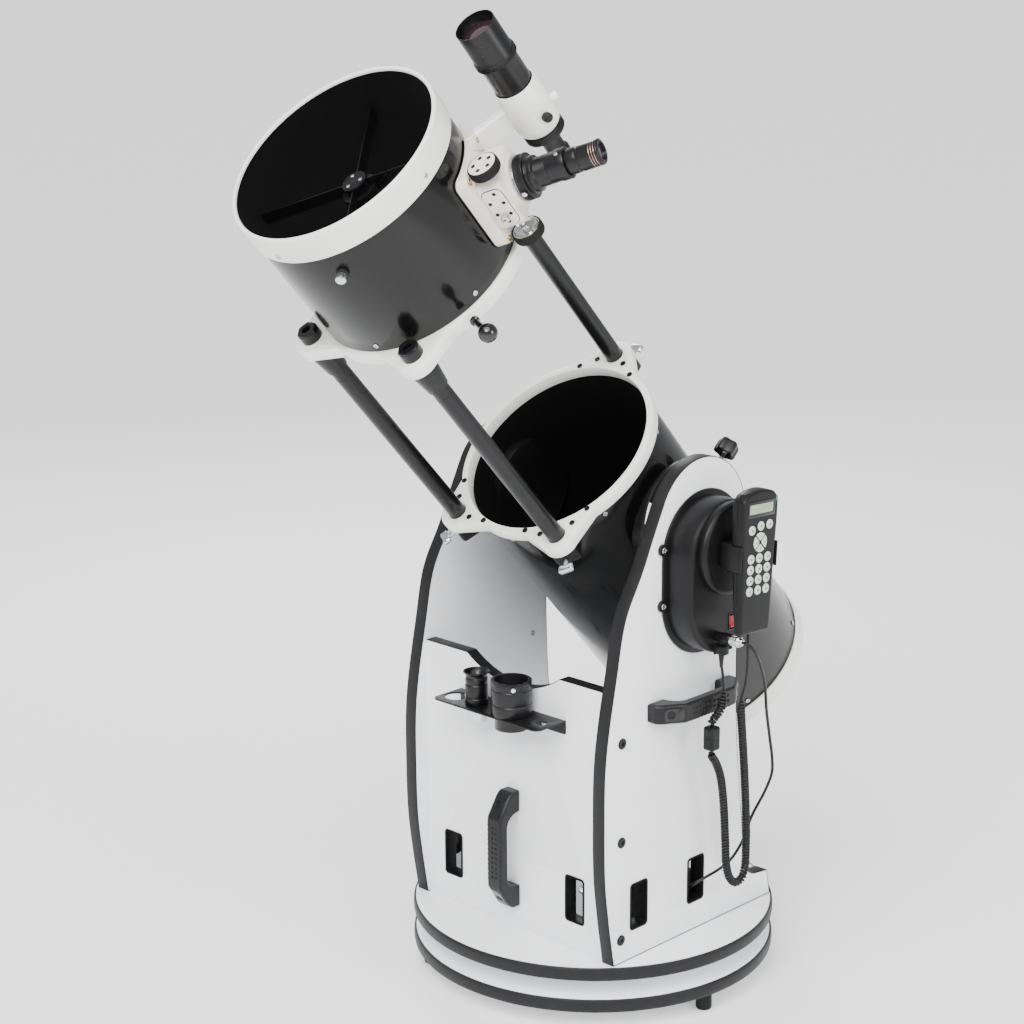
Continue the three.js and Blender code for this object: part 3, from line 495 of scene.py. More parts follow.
low, high = reach("azimuth_drive_housing", base)
housing = plate(rounded(low.x, high.x, low.y, high.y, 8), low.z, high.z, 3)
fitted(make("azimuth_drive_box", housing, base, moulded_abs), "rocker", "black_plastic",
       "azimuth_drive_housing")

# ---- rocker panels ------------------------------------------------------------------------------
# Two tall side panels with a round head at the tilt axis, and a front panel with a dished top.
# They are white laminated board, edged in black, with black liners in the hand slots.

STAND_UP = Matrix(((0, 0, 1, 0), (1, 0, 0, 0), (0, 1, 0, 0), (0, 0, 0, 1)))  # drawn Y-Z, thick in X
FACE_FRONT = Matrix(((1, 0, 0, 0), (0, 0, -1, 0), (0, 1, 0, 0), (0, 0, 0, 1)))  # drawn X-Z, thick in -Y

deck = reach("turning_board", base)[1].z
panel_low, panel_high = reach("right_side_panel", base)
half_depth, axis_height = -panel_low.y, altitude_z - deck
front_edge = [(-0.942, 0.095), (-0.988, 0.208), (-1, 0.345), (-0.986, 0.51), (-0.876, 0.706),
              (-0.787, 0.83), (-0.619, 0.927), (-0.49, 1.012)]
rear_edge = [(0.466, 0.929), (0.443, 0.664), (0.466, 0.46), (0.52, 0.301), (0.547, 0.226)]
HEEL_TOP, HEEL_REAR = 42.4, 189.5
PANEL_EDGING = 1.4
SLOT_HALF, SLOT_TALL, SLOT_CORNER = 18.5, 72.5, 5
SIDE_SLOTS, SIDE_SLOT_LOW = (-130, 2), 47  # the slots' middles along Y, and their height above the deck
FRONT_SLOTS, FRONT_SLOT_LOW = (-131.9, 128.9), 45


def side_outline():
    """The side panel seen from its outer face, with Y across and height above the deck up."""
    to_size = [(y * half_depth, z * axis_height) for y, z in front_edge]
    head = arc(altitude_y, axis_height + 3.3, panel_high.z - altitude_z - 3.3, 150, 10, 48)
    front = [tuple(p) for p in smooth_line([*to_size, head[0]], 8)][:-1]
    rear = [tuple(p) for p in smooth_line([(y * half_depth, z * axis_height) for y, z in rear_edge], 8)]
    foot = arc(0.57 * half_depth + 40, HEEL_TOP + 43, 40, 180, 270, 8)
    path = [(-0.892 * half_depth, 0.3), *front, *head, *rear[1:], *foot[2:],
            (HEEL_REAR - 8, HEEL_TOP), (HEEL_REAR, 0.3)]
    return path[::-1]


def hand_slot(middle, bottom):
    """The outline of a hand slot."""
    return rounded(middle - SLOT_HALF, middle + SLOT_HALF, bottom, bottom + SLOT_TALL, SLOT_CORNER)


def liner(name, hole, low, high, place):
    """The moulded frame in a hand slot, with a thin lip on both faces."""
    lip = inset(hole, -1.6)
    tube_part = plate(inset(hole, 0.05), low - 0.9, high + 0.9, 0.4, [inset(hole, 2.2)])
    lips = [plate(lip, z, z + 0.9, 0.3, [inset(hole, 2.2)]) for z in (low - 0.9, high)]
    fitted(make(name, joined(tube_part, *lips), place, moulded_abs), "rocker", "black_plastic")


def joined(*shapes):
    """Several shapes as one."""
    points, faces = [], []
    for more_points, more_faces in shapes:
        faces += [[i + len(points) for i in face] for face in more_faces]
        points += more_points
    return points, faces


outline = side_outline()
thickness = panel_high.x - panel_low.x
for side, node in (("right", "right_side_panel"), ("left", "left_side_panel")):
    start = reach(node, base)[0].x
    place = base @ Matrix.Translation((start, 0, deck)) @ STAND_UP
    slots = [hand_slot(y, SIDE_SLOT_LOW) for y in SIDE_SLOTS]
    bore = circle(31.4, 48, altitude_y, axis_height)
    white = plate(inset(outline, PANEL_EDGING), 0, thickness, 0.3, [*slots, bore])
    fitted(make(side + "_panel_board", white, place, laminate), "rocker", "white_laminate", node)
    band = plate(outline, -0.3, thickness + 0.3, 0.9, [inset(outline, PANEL_EDGING)])
    fitted(make(side + "_panel_edging", band, place, edging), "rocker", "black_plastic")
    for number, slot in enumerate(slots, 1):
        liner(f"{side}_panel_liner_{number}", slot, 0, thickness, place)

front_low, front_high = reach("front_panel", base)
front_half, front_top = front_high.x, front_high.z - deck
NOTCH_HALF, NOTCH_DEEP = 97.6, 31.6
notch_radius = (NOTCH_HALF**2 + NOTCH_DEEP**2) / (2 * NOTCH_DEEP)
notch_swing = math.degrees(math.asin(NOTCH_HALF / notch_radius))
notch_middle = front_top - NOTCH_DEEP + notch_radius
notch = arc(0, notch_middle, notch_radius, -90 + notch_swing, -90 - notch_swing, 32)
top_line = [(front_half, front_top), *notch, (-front_half, front_top)]
below = [(x, z - PANEL_EDGING) for x, z in top_line]
place = base @ Matrix.Translation((0, front_high.y, deck)) @ FACE_FRONT
front_thick = front_high.y - front_low.y
slots = [hand_slot(x, FRONT_SLOT_LOW) for x in FRONT_SLOTS]
white = plate([(-front_half, 0.3), (front_half, 0.3), *below], 0, front_thick, 0.3, slots)
fitted(make("front_panel_board", white, place, laminate), "rocker", "white_laminate", "front_panel")
band = plate([*below[::-1], *top_line], -0.3, front_thick + 0.3, 0.4)
fitted(make("front_panel_edging", band, place, edging), "rocker", "black_plastic")
for number, slot in enumerate(slots, 1):
    liner(f"front_panel_liner_{number}", slot, 0, front_thick, place)

# ---- panel bolts --------------------------------------------------------------------------------
# Black steel connecting bolts with a broad flat head and a hexagon socket, three in a column near the front
# edge of each side panel.
# Small cross-head screws fix the slots' liners and the fittings inside the side panels.

fastener_set = bpy.data.node_groups.new("heads_at_points", "GeometryNodeTree")
for label, kind in (("Points", "Geometry"), ("Head", "Object"), ("Size", "Float"),
                    ("Finish", "Material")):
    fastener_set.interface.new_socket(label, in_out="INPUT", socket_type="NodeSocket" + kind)
fastener_set.interface.new_socket("Heads", in_out="OUTPUT", socket_type="NodeSocketGeometry")
given = add(fastener_set, "NodeGroupInput")
facing = add(fastener_set, "GeometryNodeInputNamedAttribute",
             {"data_type": "FLOAT_VECTOR", "Name": "facing"})
turn = add(fastener_set, "FunctionNodeAlignRotationToVector", {"axis": "Z"},
           {"Vector": facing.outputs["Attribute"]})
head_in = add(fastener_set, "GeometryNodeObjectInfo", {}, {"Object": given.outputs["Head"]})
put = add(fastener_set, "GeometryNodeInstanceOnPoints", {},
          {"Points": given.outputs["Points"], "Instance": head_in.outputs["Geometry"],
           "Rotation": turn.outputs["Rotation"], "Scale": given.outputs["Size"]})
solid = add(fastener_set, "GeometryNodeRealizeInstances", {}, {"Geometry": put.outputs["Instances"]})
painted = add(fastener_set, "GeometryNodeSetMaterial", {},
              {"Geometry": solid.outputs["Geometry"], "Material": given.outputs["Finish"]})
add(fastener_set, "NodeGroupOutput", {}, {"Heads": painted.outputs["Geometry"]})
fastener_inputs = {item.name: item.identifier for item in fastener_set.interface.items_tree}


def repeated(name, head, spots, place, finish, size=1.0):
    """One head at many (point, facing) spots, all in a frame's millimetres, as one mesh."""
    pattern = make(name + "_pattern", head, Matrix(), finish)
    host_mesh = bpy.data.meshes.new(name + "_points")
    host_mesh.from_pydata([spot for spot, _ in spots], [], [])
    ways = host_mesh.attributes.new("facing", "FLOAT_VECTOR", "POINT")
    ways.data.foreach_set("vector", [value for _, way in spots for value in way])
    host = bpy.data.objects.new(name, host_mesh)
    bpy.context.scene.collection.objects.link(host)
    copier = host.modifiers.new("heads", "NODES")
    copier.node_group = fastener_set
    for label, value in (("Head", pattern), ("Size", size), ("Finish", finish)):
        copier[fastener_inputs[label]] = value
    ready = host.evaluated_get(bpy.context.evaluated_depsgraph_get())
    mesh = bpy.data.meshes.new_from_object(ready)
    host.modifiers.remove(copier)
    mesh.transform(place)
    host.data = mesh
    bpy.data.objects.remove(pattern)
    return host


def outward(radius, angle, z):
    """A spot on a circle about Z, and the direction straight out of it."""
    way = (math.cos(angle), math.sin(angle), 0)
    return (radius * way[0], radius * way[1], z), way


def drive_head(radius, height, drive, sides=6):
    """A screw head on Z = 0, with a hexagon socket or a cross recess in its face."""
    if sides == 6:
        recess = circle(drive, 6)
    else:
        half = drive * 0.22
        recess = [(half, -half), (drive, -half), (drive, half), (half, half), (half, drive),
                  (-half, drive), (-half, half), (-drive, half), (-drive, -half), (-half, -half),
                  (-half, -drive), (half, -drive)]
    rim = circle(radius, 24)
    ease = min(height * 0.45, (radius - drive) * 0.4)
    across, up_to = radius * 0.8, height * 0.3
    floor_disc = turned([(0, -0.4), (across, -0.4), (across, up_to), (0, up_to)], 24)
    return joined(plate(rim, 0, height, ease, [recess]), floor_disc)


# Black oxide on steel: nearly black metal with an oily sheen.
black_oxide = coat("black_oxide_steel", "2c2d2f", {"Metallic": 1.0},
                   ("28292b", "38393b"), 4, (0.3, 0.42))

# Chrome plating: bright and hard, with only a breath of cloud in the shine.
chrome = coat("polished_chrome", "d4d6d8", {"Metallic": 1.0},
              ("cdcfd2", "dcdddf"), 8, (0.08, 0.16))

PANEL_FACE = 211.5  # the side panels' outer faces
bolt_rows = [(-170.5, deck + z) for z in (38.2, 194.2, 348.8)]
spots = [((sign * PANEL_FACE, y, z), (sign, 0, 0)) for sign in (1, -1) for y, z in bolt_rows]
fitted(repeated("panel_bolts", drive_head(8.5, 2.2, 3.4), spots, base, black_oxide),
       "rocker", "black_plastic")
screw_up = deck + SLOT_TALL - 1.6  # under the top of a slot that starts on the deck
spots = [((sign * 200, y, screw_up + SIDE_SLOT_LOW), (0, 0, -1)) for sign in (1, -1) for y in SIDE_SLOTS]
spots += [((x, -172, screw_up + FRONT_SLOT_LOW), (0, 0, -1)) for x in FRONT_SLOTS]
fitted(repeated("liner_screws", drive_head(3.6, 1.4, 1.9, 4), spots, base, chrome), "rocker", "chrome")

spots = [((sign * 188.9, 58, 484), (-sign, 0, 0)) for sign in (1, -1)]
fitted(repeated("inner_panel_screws", drive_head(5, 1.6, 2.6, 4), spots, base, chrome), "rocker", "chrome")

# ---- carrying handles ---------------------------------------------------------------------------
# Glass-filled nylon bridge handles, one on each panel. The ends slope down to flat feet, with a
# screw in a polished bezel, and the grip has two columns of small domes.

# Glass-filled nylon: matt charcoal with a slight mould grain.
nylon = coat("glass_filled_nylon", "101011", {"Specular IOR Level": 0.3},
             ("0c0c0d", "141415"), 18, (0.34, 0.46), (0.8, 0.03))

# The bezels' polished mould face: the same nylon, bright.
gloss_nylon = coat("polished_black_nylon", "161617", {"IOR": 1.53},
                   ("08080a", "0e0e0f"), 20, (0.06, 0.12))

half_bridge = [(61, 0), (94.7, 0), (94.7, 14), (92, 19), (87, 24), (58, 42.6), (54, 43.6)]
half_under = [(0, 26.5), (42, 26.5), (50, 23.5), (55.5, 18), (59, 11)]
bridge = [*half_under, *half_bridge, *[(-x, z) for x, z in [*half_under[1:], *half_bridge][::-1]]]
handle_body = layered(bridge, [(3.2, -15), (1.0, -13.6), (0, -11.4), (0, 11.4), (1.0, 13.6), (3.2, 15)])
bezel_rim = rounded(-10.5, 10.5, -15.5, 15.5, 6)
bezel = plate(bezel_rim, -1, 0.8, 0.5, [circle(6.2, 24, 0, -5)])
bump = turned([(0, -0.6), (2.6, -0.6), (2.3, 0.8), (1.3, 1.6), (0, 1.9)], 10)
for node, at, out in (("right_handle", reach("right_side_panel", base)[1].x, (1, 0, 0)),
                      ("left_handle", -PANEL_FACE, (-1, 0, 0)), ("front_handle", front_low.y, (0, -1, 0))):
    low, high = reach(node, base)
    mid = (low + high) / 2
    up = (0, 0, 1) if node == "front_handle" else (0, 1, 0)
    foot_at = Vector((at, mid.y, mid.z)) if out[0] else Vector((mid.x, at, mid.z))
    place = base @ Matrix.Translation(foot_at) @ Matrix(
        (Vector(up), Vector(out), Vector(up).cross(Vector(out)))).transposed().to_4x4()
    fitted(make(node + "_bridge", handle_body, place, nylon), "rocker", "black_plastic", node)
    ends, screws = [], []
    for sign in (1, -1):
        face = Vector((sign * 72.5, 33.3, 0))
        normal = Vector((sign * 18.6, 29, 0)).normalized()
        down_slope = normal.cross(Vector((0, 0, 1))) * -sign
        turned_to = Matrix((down_slope.cross(normal), down_slope, normal)).transposed().to_4x4()
        points, faces = bezel
        ends.append(([Matrix.Translation(face) @ turned_to @ Vector(p) for p in points], faces))
        screws.append((face - down_slope * 5 - normal * 0.4, normal))
    fitted(make(node + "_bezels", joined(*ends), place, gloss_nylon), "rocker", "black_plastic")
    fitted(repeated(node + "_screws", drive_head(5.4, 0.6, 2.6), screws, place, black_oxide),
           "rocker", "black_plastic")
    grips = [((x, 41.8, z), (0, 0.8, z / 16)) for x in range(-44, 45, 8) for z in (-12.6, 12.6)]
    grips += [((x, 43.5, z), (0, 1, 0)) for x in range(-40, 41, 8) for z in (-4, 4)]
    fitted(repeated(node + "_grip_domes", bump, grips, place, nylon), "rocker", "black_plastic")

# ---- eyepiece rack, spare eyepiece and adapter --------------------------------------------------
# A folded steel shelf with four holes on the front panel. A spare eyepiece and a barrel adapter
# stand in two of the holes, and two cross-head screws hold the shelf.

# Fine-textured black powder coat on the folded shelf.
powder_black = coat("fine_black_powder_coat", "0d0d0e", {"Specular IOR Level": 0.3},
                    ("0a0a0b", "111112"), 22, (0.34, 0.46), (0.7, 0.03))

# Anodised aluminium: dense satin black that keeps a metallic edge.
anodised = coat("satin_black_anodise", "0f0f10", {"Specular IOR Level": 0.35},
                ("0b0b0c", "131315"), 15, (0.24, 0.34))

# Barrel glass: dark coated lenses, with a magenta and amber glint painted into their colour.
lens_glass, tree, shader, where = begin(
    "coated_lens_glass", "0b0a10", {"IOR": 1.6, "Roughness": 0.04, "Coat Weight": 0.8})
# Painted reflection: the base colour turns from amber face-on to violet at a slant, standing in for the
# coating's glint.
edge = add(tree, "ShaderNodeLayerWeight", {"Blend": 0.35})
painted_glint = add(tree, "ShaderNodeMix", {"data_type": "RGBA", 6: linear("3a2216"), 7: linear("171028")},
            {0: edge.outputs["Facing"]})
tree.links.new(painted_glint.outputs[2], shader.inputs["Base Color"])

low, high = reach("eyepiece_rack", base)
RACK_ROW = -215  # the middles of the holes, along Y
EYEPIECE_AT, ADAPTER_AT = -44, 30
RACK_HOLES = ((-88, 17.5), (EYEPIECE_AT, 16.25), (ADAPTER_AT, 25.8), (92, 8))
holes = [circle(radius, 40, x, RACK_ROW) for x, radius in RACK_HOLES]
shelf_outline = [(low.x, high.y), *arc(low.x + 12, low.y + 12, 12, 180, 270, 8),
                 *arc(high.x - 12, low.y + 12, 12, 270, 360, 8), (high.x, high.y)]
shelf = plate(shelf_outline, high.z - 2.5, high.z, 0.5, holes)
points, faces = plate(rounded(low.x, high.x, low.z, high.z - 2, 3), -high.y, 1.8 - high.y, 0.4)
flange = ([(x, -z, y) for x, y, z in points], faces)
fitted(make("rack_shelf", joined(shelf, flange), base, powder_black),
       "rocker", "black_metal", "eyepiece_rack")
spots = [((x, high.y - 1.8, high.z - 12), (0, -1, 0)) for x in (-68, 68)]
fitted(repeated("rack_screws", drive_head(4.5, 1.8, 2.4, 4), spots, base, chrome), "rocker", "chrome")

spare = base @ Matrix.Translation((EYEPIECE_AT, RACK_ROW, high.z))
barrel = eased([(0, -26), (14.6, -26), (14.6, -28), (15.85, -28), (15.85, -0.2), (0, -0.2)], 0.4)
fitted(make("spare_eyepiece_barrel", turned(barrel, 48), spare, chrome), "spare_eyepiece", "chrome")
cup = eased([(0, 0), (17, 0), (17.6, 1.5), (17.6, 9), (17, 9.6), (17, 11), (17.6, 11.6), (17.6, 30),
             (16.6, 31), (16.6, 33), (17.2, 34), (17.2, 40), (16, 42.5), (17.6, 46.5), (20.4, 49.4),
             (20.6, 50.6), (19.4, 50.8), (15, 46), (13, 41), (0, 41)], 0.5)
fitted(make("spare_eyepiece_housing", turned(cup, 60), spare, anodised), "spare_eyepiece", "black_metal",
       "rack_eyepiece")
glass = [(0, 39), (12.6, 39), (12.6, 41.2), (8, 42), (4, 42.3), (0, 42.4)]
fitted(make("spare_eyepiece_glass", turned(glass, 48), spare, lens_glass), "spare_eyepiece", "black_metal")

ADAPTER_BORE = 25.6
spare = base @ Matrix.Translation((ADAPTER_AT, RACK_ROW, high.z))
collar = eased([(23, -22), (25.4, -22), (25.4, 0), (31, 0), (31, 17), (30.2, 17.8), (30.2, 19.6),
                (31, 20.4), (31, 40), (30.2, 40.8), (30.2, 42), (31, 42.8), (31, 54),
                (ADAPTER_BORE, 54), (ADAPTER_BORE, 4), (23, 4)], 0.4)
fitted(make("barrel_adapter", turned(collar, 72), spare, anodised), "spare_adapter", "black_metal",
       "rack_adapter")
thumb = turned(eased([(0, -2), (2.2, -2), (2.2, 3), (4.4, 3), (4.4, 7), (0, 7)], 0.4), 20)
fitted(repeated("adapter_thumbscrew", thumb, [((23.4, -20.3, 48), (0.755, -0.655, 0))], spare, chrome, 0.8),
       "spare_adapter", "chrome")

# ---- altitude drive cover and its gears ---------------------------------------------------------
# A moulded ABS cover over the motor on the right panel, with a round boss over the tilt axis,
# screw ears, a red rocker switch, two sockets and the plug that the handset cord leaves.

STADIUM_TOP, STADIUM_LOW, COVER_RADIUS = altitude_z - 38.7, altitude_z - 102.7, 84.5
panel_face = reach("right_side_panel", base)[1].x
stand = base @ Matrix.Translation((panel_face, altitude_y, 0)) @ STAND_UP
cover_depth, boss_depth = 48.2, reach("motor_cover", base)[1].x - panel_face


def stadium(radius):
    """The cover's outline: two half rounds one above the other."""
    return arc(0, STADIUM_TOP, radius, 0, 180, 40) + arc(0, STADIUM_LOW, radius, 180, 360, 40)


low, high = reach("power_switch", base)
switch_y, switch_z = (low.y + high.y) / 2 - altitude_y, (low.z + high.z) / 2
switch_wide, switch_tall = high.y - low.y, high.z - low.z


def switch_frame(wide, tall, radius):
    """A rectangle round the switch, a margin wider and taller on each side."""
    return rounded(switch_y - switch_wide / 2 - wide, switch_y + switch_wide / 2 + wide,
                   switch_z - switch_tall / 2 - tall, switch_z + switch_tall / 2 + tall, radius)


WELL = (0.5, 3.0)  # room beside and above the rocker, which dips as it rocks
shell = layered(stadium(COVER_RADIUS), [(0, 0.3), (0, cover_depth - 7), (0.9, cover_depth - 3.6),
                                        (3, cover_depth - 1.2), (6, cover_depth), (9, cover_depth)],
                [switch_frame(*WELL, 0.8)], hole_ease=0)
skirt = plate(stadium(COVER_RADIUS + 9), 0.3, 4.2, 1.0)
BOSS_DROP = 26.2  # the boss's middle, below the tilt axis
points, faces = turned(eased([(0, cover_depth - 2), (70, cover_depth - 2), (70, boss_depth - 5),
                              (67.5, boss_depth - 1.4), (63, boss_depth), (0, boss_depth)], 1.0))
boss = ([(x, y + altitude_z - BOSS_DROP, z) for x, y, z in points], faces)
EARS = [(y, altitude_z + z) for y in (-93.5, 93.5) for z in (-20.7, -105.7)]
ears = [plate(circle(9, 20, y, z), 0.3, 5.6, 0.8, [circle(2.2, 10, y, z)]) for y, z in EARS]
cover = make("altitude_cover", joined(shell, skirt, boss, *ears), stand, moulded_abs)
fitted(cover, "rocker", "black_plastic", "motor_cover")
spots = [((y, z, 5), (0, 0, 1)) for y, z in EARS]
fitted(repeated("cover_screws", drive_head(5.2, 2, 2.7, 4), spots, stand, zinc_plate),
       "rocker", "chrome")

# Switch rocker: translucent red acrylic, glossy, lit a little by its own colour.
switch_red = coat("glossy_red_acrylic", "b3171b",
                  {"IOR": 1.49, "Coat Weight": 0.4, "Subsurface Weight": 0.15,
                   "Subsurface Scale": 0.002}, ("a81418", "c01d20"), 12, (0.18, 0.28))
bezel = plate(switch_frame(WELL[0] + 1.8, WELL[1] + 1.8, 2), cover_depth - 1, cover_depth + 1.2, 0.5,
              [switch_frame(*WELL, 0.8)])
fitted(make("switch_bezel", bezel, stand, gloss_nylon), "rocker", "black_plastic")
front = high.x
side_view = [(low.z + 0.6, front - 2.6), (switch_z, front - 4.2), (high.z - 0.6, front - 4.2),
             (high.z, front - 3.8), (high.z - 1.2, front - 3.4), (switch_z, front - 3.2),
             (low.z + 1.4, front - 0.2), (low.z, front - 1.0)]
points, faces = plate([(x, z) for z, x in side_view][::-1], low.y, high.y, 0.5)
fitted(make("switch_rocker_red", ([(x, y, z) for x, z, y in points], faces), base, switch_red),
       "switch_rocker", "red_plastic", "power_switch")

low, high = reach("handset_plug", base)
mid = (low + high) / 2
plug = plate(rounded(low.y - altitude_y, high.y - altitude_y, low.z, high.z, 2.5), low.x - panel_face,
             high.x - panel_face, 1.4)
relief = turned(eased([(0, -20), (2.6, -20), (3.2, -12), (4.6, -1), (4.6, 4), (0, 4)], 0.6), 24)
fitted(make("handset_plug_body", plug, stand, moulded_abs), "rocker", "black_plastic", "handset_plug")
fitted(make("handset_strain_relief", relief, base @ Matrix.Translation((268, -14, low.z)), cord_pvc),
       "rocker", "cord_rubber")
sockets = [plate(rounded(y - 8, y + 8, z - 8, z + 8, 2), cover_depth - 1, cover_depth + 1.6, 0.5,
                 [rounded(y - 5.5, y + 5.5, z - 5.5, z + 5.5, 1)])
           for y, z in ((-14 - altitude_y, mid.z + 0.2), (12 - altitude_y, 573))]
fitted(make("cover_sockets", joined(*sockets), stand, moulded_abs), "rocker", "black_plastic")

low, high = reach("drive_connector", base)
mid = (low + high) / 2
length = high.x - low.x
plug_body = turned(eased([(0, 0), (7.5, 0), (7.5, 9), (8.4, 10), (8.4, 24), (6.6, 28), (0, 28)], 0.8), 48)
nut = turned(eased([(0, 27), (8.6, 27), (8.6, 29), (8.1, 29.4), (8.1, 38.6), (8.6, 39), (8.6, 41), (6, 42),
                    (5.4, length - 1), (3, length), (0, length)], 0.4), 48)
connector = base @ Matrix.Translation((low.x, mid.y, mid.z)) @ STAND_UP
fitted(make("drive_connector_nut", nut, connector, chrome), "rocker", "chrome", "drive_connector")
fitted(make("drive_connector_body", plug_body, connector, moulded_abs), "rocker", "black_plastic")
tooth = turned(eased([(0, -0.2), (0.9, -0.2), (0.5, 0.5), (0, 0.6)], 0.1), 4)
knurl = [outward(8.1, a, z) for a in evenly(32) for z in (30.5, 32.5, 34.5, 36.5)]
fitted(repeated("drive_connector_knurl", tooth, knurl, connector, chrome), "rocker", "chrome")

# ---- ferrite block ------------------------------------------------------------------------------
# A clip-on ferrite in a moulded case, in the middle of the handset cord.

low, high = reach("ferrite_block", base)
mid = (low + high) / 2
half = (high - low) / 2
case = layered(rounded(-half.x, half.x, -half.y, half.y, 3), [
    (3, -half.z), (1, -half.z + 1), (0, -half.z + 3), (0, -0.6), (0.5, -0.2), (0.5, 0.2), (0, 0.6),
    (0, half.z - 3), (1, half.z - 1), (3, half.z)])
fitted(make("ferrite_case", case, base @ Matrix.Translation(mid), moulded_abs), "rocker", "black_plastic",
       "ferrite_block")
length_of(handset_line)

# ---- hand controller in its cradle --------------------------------------------------------------
# A moulded handset with a rounded top, a dark olive display and silicone keys. It hangs in a
# cradle with two wings on the drive cover.

low, high = reach("hand_controller", base)
tipped = Matrix.Rotation(math.radians(-3), 4, "X")
controller = base @ Matrix.Translation((318, 6.0, 713.4)) @ tipped @ STAND_UP
head_arc = arc(0, 25, 82, 112, 68, 10)
body_outline = [(-34, -101), *arc(-28, -101, 6, 180, 270, 4)[1:], *arc(28, -101, 6, 270, 360, 4),
                (37, 0), (40, 60), *arc(30, 88, 10, 0, 60, 4), *head_arc[::-1],
                *arc(-30, 88, 10, 120, 180, 4), (-40, 60), (-37, 0)][1:]
case = layered(body_outline, [(5, -24), (1.6, -22.6), (0, -19), (0, -12.4), (0.6, -12), (0.6, -11.6),
                              (0, -11.2), (0, -4), (1.2, -1.2), (3.4, -0.1), (5, 0)])
THIN_BELOW, THIN_OVER, THINNED = 10, 60, 0.42
slimmed = []
for x, y, z in case[0]:
    slimmed.append((x, y, z * (1 - THINNED * min(1, max(0, (THIN_BELOW - y) / THIN_OVER)))))
fitted(make("handset_case", (slimmed, case[1]), controller, moulded_abs),
       "rocker", "black_plastic", "hand_controller")

# Display: a smoky window round an olive liquid-crystal panel.
display = coat("olive_display", "8fa27a", {"IOR": 1.5, "Coat Weight": 0.5},
               ("86996f", "9db087"), 10, (0.12, 0.22))
window = plate(rounded(-31, 31, 67, 91, 3), -0.5, 0.7, 0.3, [rounded(-27, 27, 72, 86, 1)])
fitted(make("handset_window", window, controller, gloss_nylon), "rocker", "black_plastic")
panel = plate(rounded(-27.5, 27.5, 71.5, 86.5, 1), -0.5, 0.25, 0.1)
fitted(make("handset_display", panel, controller, display), "rocker", "black_plastic")

# Silicone keys: pale grey-green, matt, with a slight translucency at their rims.
key_silicone = coat("pale_silicone_keys", "c3cbc0",
                    {"IOR": 1.41, "Subsurface Weight": 0.1, "Subsurface Scale": 0.001},
                    ("bcc5ba", "cbd2c9"), 8, (0.5, 0.62))
key_ink = coat("dark_key_print", "33383a", {"Roughness": 0.6},
               ("2d3234", "3c4143"), 4, (0.55, 0.65))
key_dome = turned([(0, -1), (7, -1), (7, 0.9), (6.6, 1.5), (5.4, 1.75), (0, 1.9)], 32)
tops = [(-20, 48.5), (0, 53), (20, 53.5)]
numbers = [(y, z) for z in (5.5, -10.5, -26.5, -42.5) for y in (-19, 0, 19)]
key_mark = turned([(0, -0.3), (1.8, -0.3), (1.7, 0.12), (0, 0.12)], 8)
for body, node, places in (("top_keys", "controller_top_keys", tops),
                           ("number_keys", "controller_number_keys", numbers)):
    spots = [((y, z, 0), (0, 0, 1)) for y, z in places]
    keys = repeated(node + "_caps", key_dome, spots, controller, key_silicone)
    fitted(keys, body, "key_rubber", node)
    spots = [((y, z, 1.85), (0, 0, 1)) for y, z in places]
    dots = repeated(node + "_print", key_mark, spots, controller, key_ink)
    fitted(dots, body, "key_rubber")
petals = []
ARROWS_UP = 29  # the middle of the arrow keys
for turn_to in (0, 90, 180, 270):
    wedge = (arc(0, ARROWS_UP, 14.5, turn_to - 39, turn_to + 39, 10)
             + arc(0, ARROWS_UP, 3.4, turn_to + 26, turn_to - 26, 3))
    petals.append(plate(wedge, -1, 1.7, 0.6))
fitted(make("arrow_key_petals", joined(*petals), controller, key_silicone), "arrow_keys", "key_rubber",
       "controller_arrow_keys")
fitted(repeated("arrow_key_print", turned([(0, -0.3), (2, -0.3), (1.9, 0.12), (0, 0.12)], 3),
                [((9 * math.cos(a), ARROWS_UP + 9 * math.sin(a), 1.65), (0, 0, 1))
                 for a in (0, math.pi / 2, math.pi, 3 * math.pi / 2)], controller, key_ink),
       "arrow_keys", "key_rubber")

# Status light: a teal wedge in the top right corner.
light_teal = coat("teal_light_window", "2f8a76", {"Roughness": 0.2},
                  ("28806c", "3a9a84"), 5, (0.15, 0.25))
wedge = plate([(33, 86), (37.4, 90), (36.4, 94.5), (33, 95.5)], -0.6, 0.45, 0.2)
fitted(make("handset_status_light", wedge, controller, light_teal), "rocker", "black_plastic")

back = plate(rounded(-36, 36, -12, 26, 4), -43.5, -24.2, 1)
wings = [plate(rounded(y, y + 2.5, -12, 26, 1.2, 3), -34, 0.6, 0.5) for y in (-42.2, 39.7)]
lip = plate(rounded(-42, 42, -15, -12, 1, 2), -30, -24.5, 0.4)
fitted(make("handset_cradle", joined(back, *wings, lip), controller, moulded_abs),
       "rocker", "black_plastic", "controller_holder")

# ---- tilt hubs, gear and motor ------------------------------------------------------------------
# Turned black hubs between the tube and the panels, the drive's steel gears, and the motor.

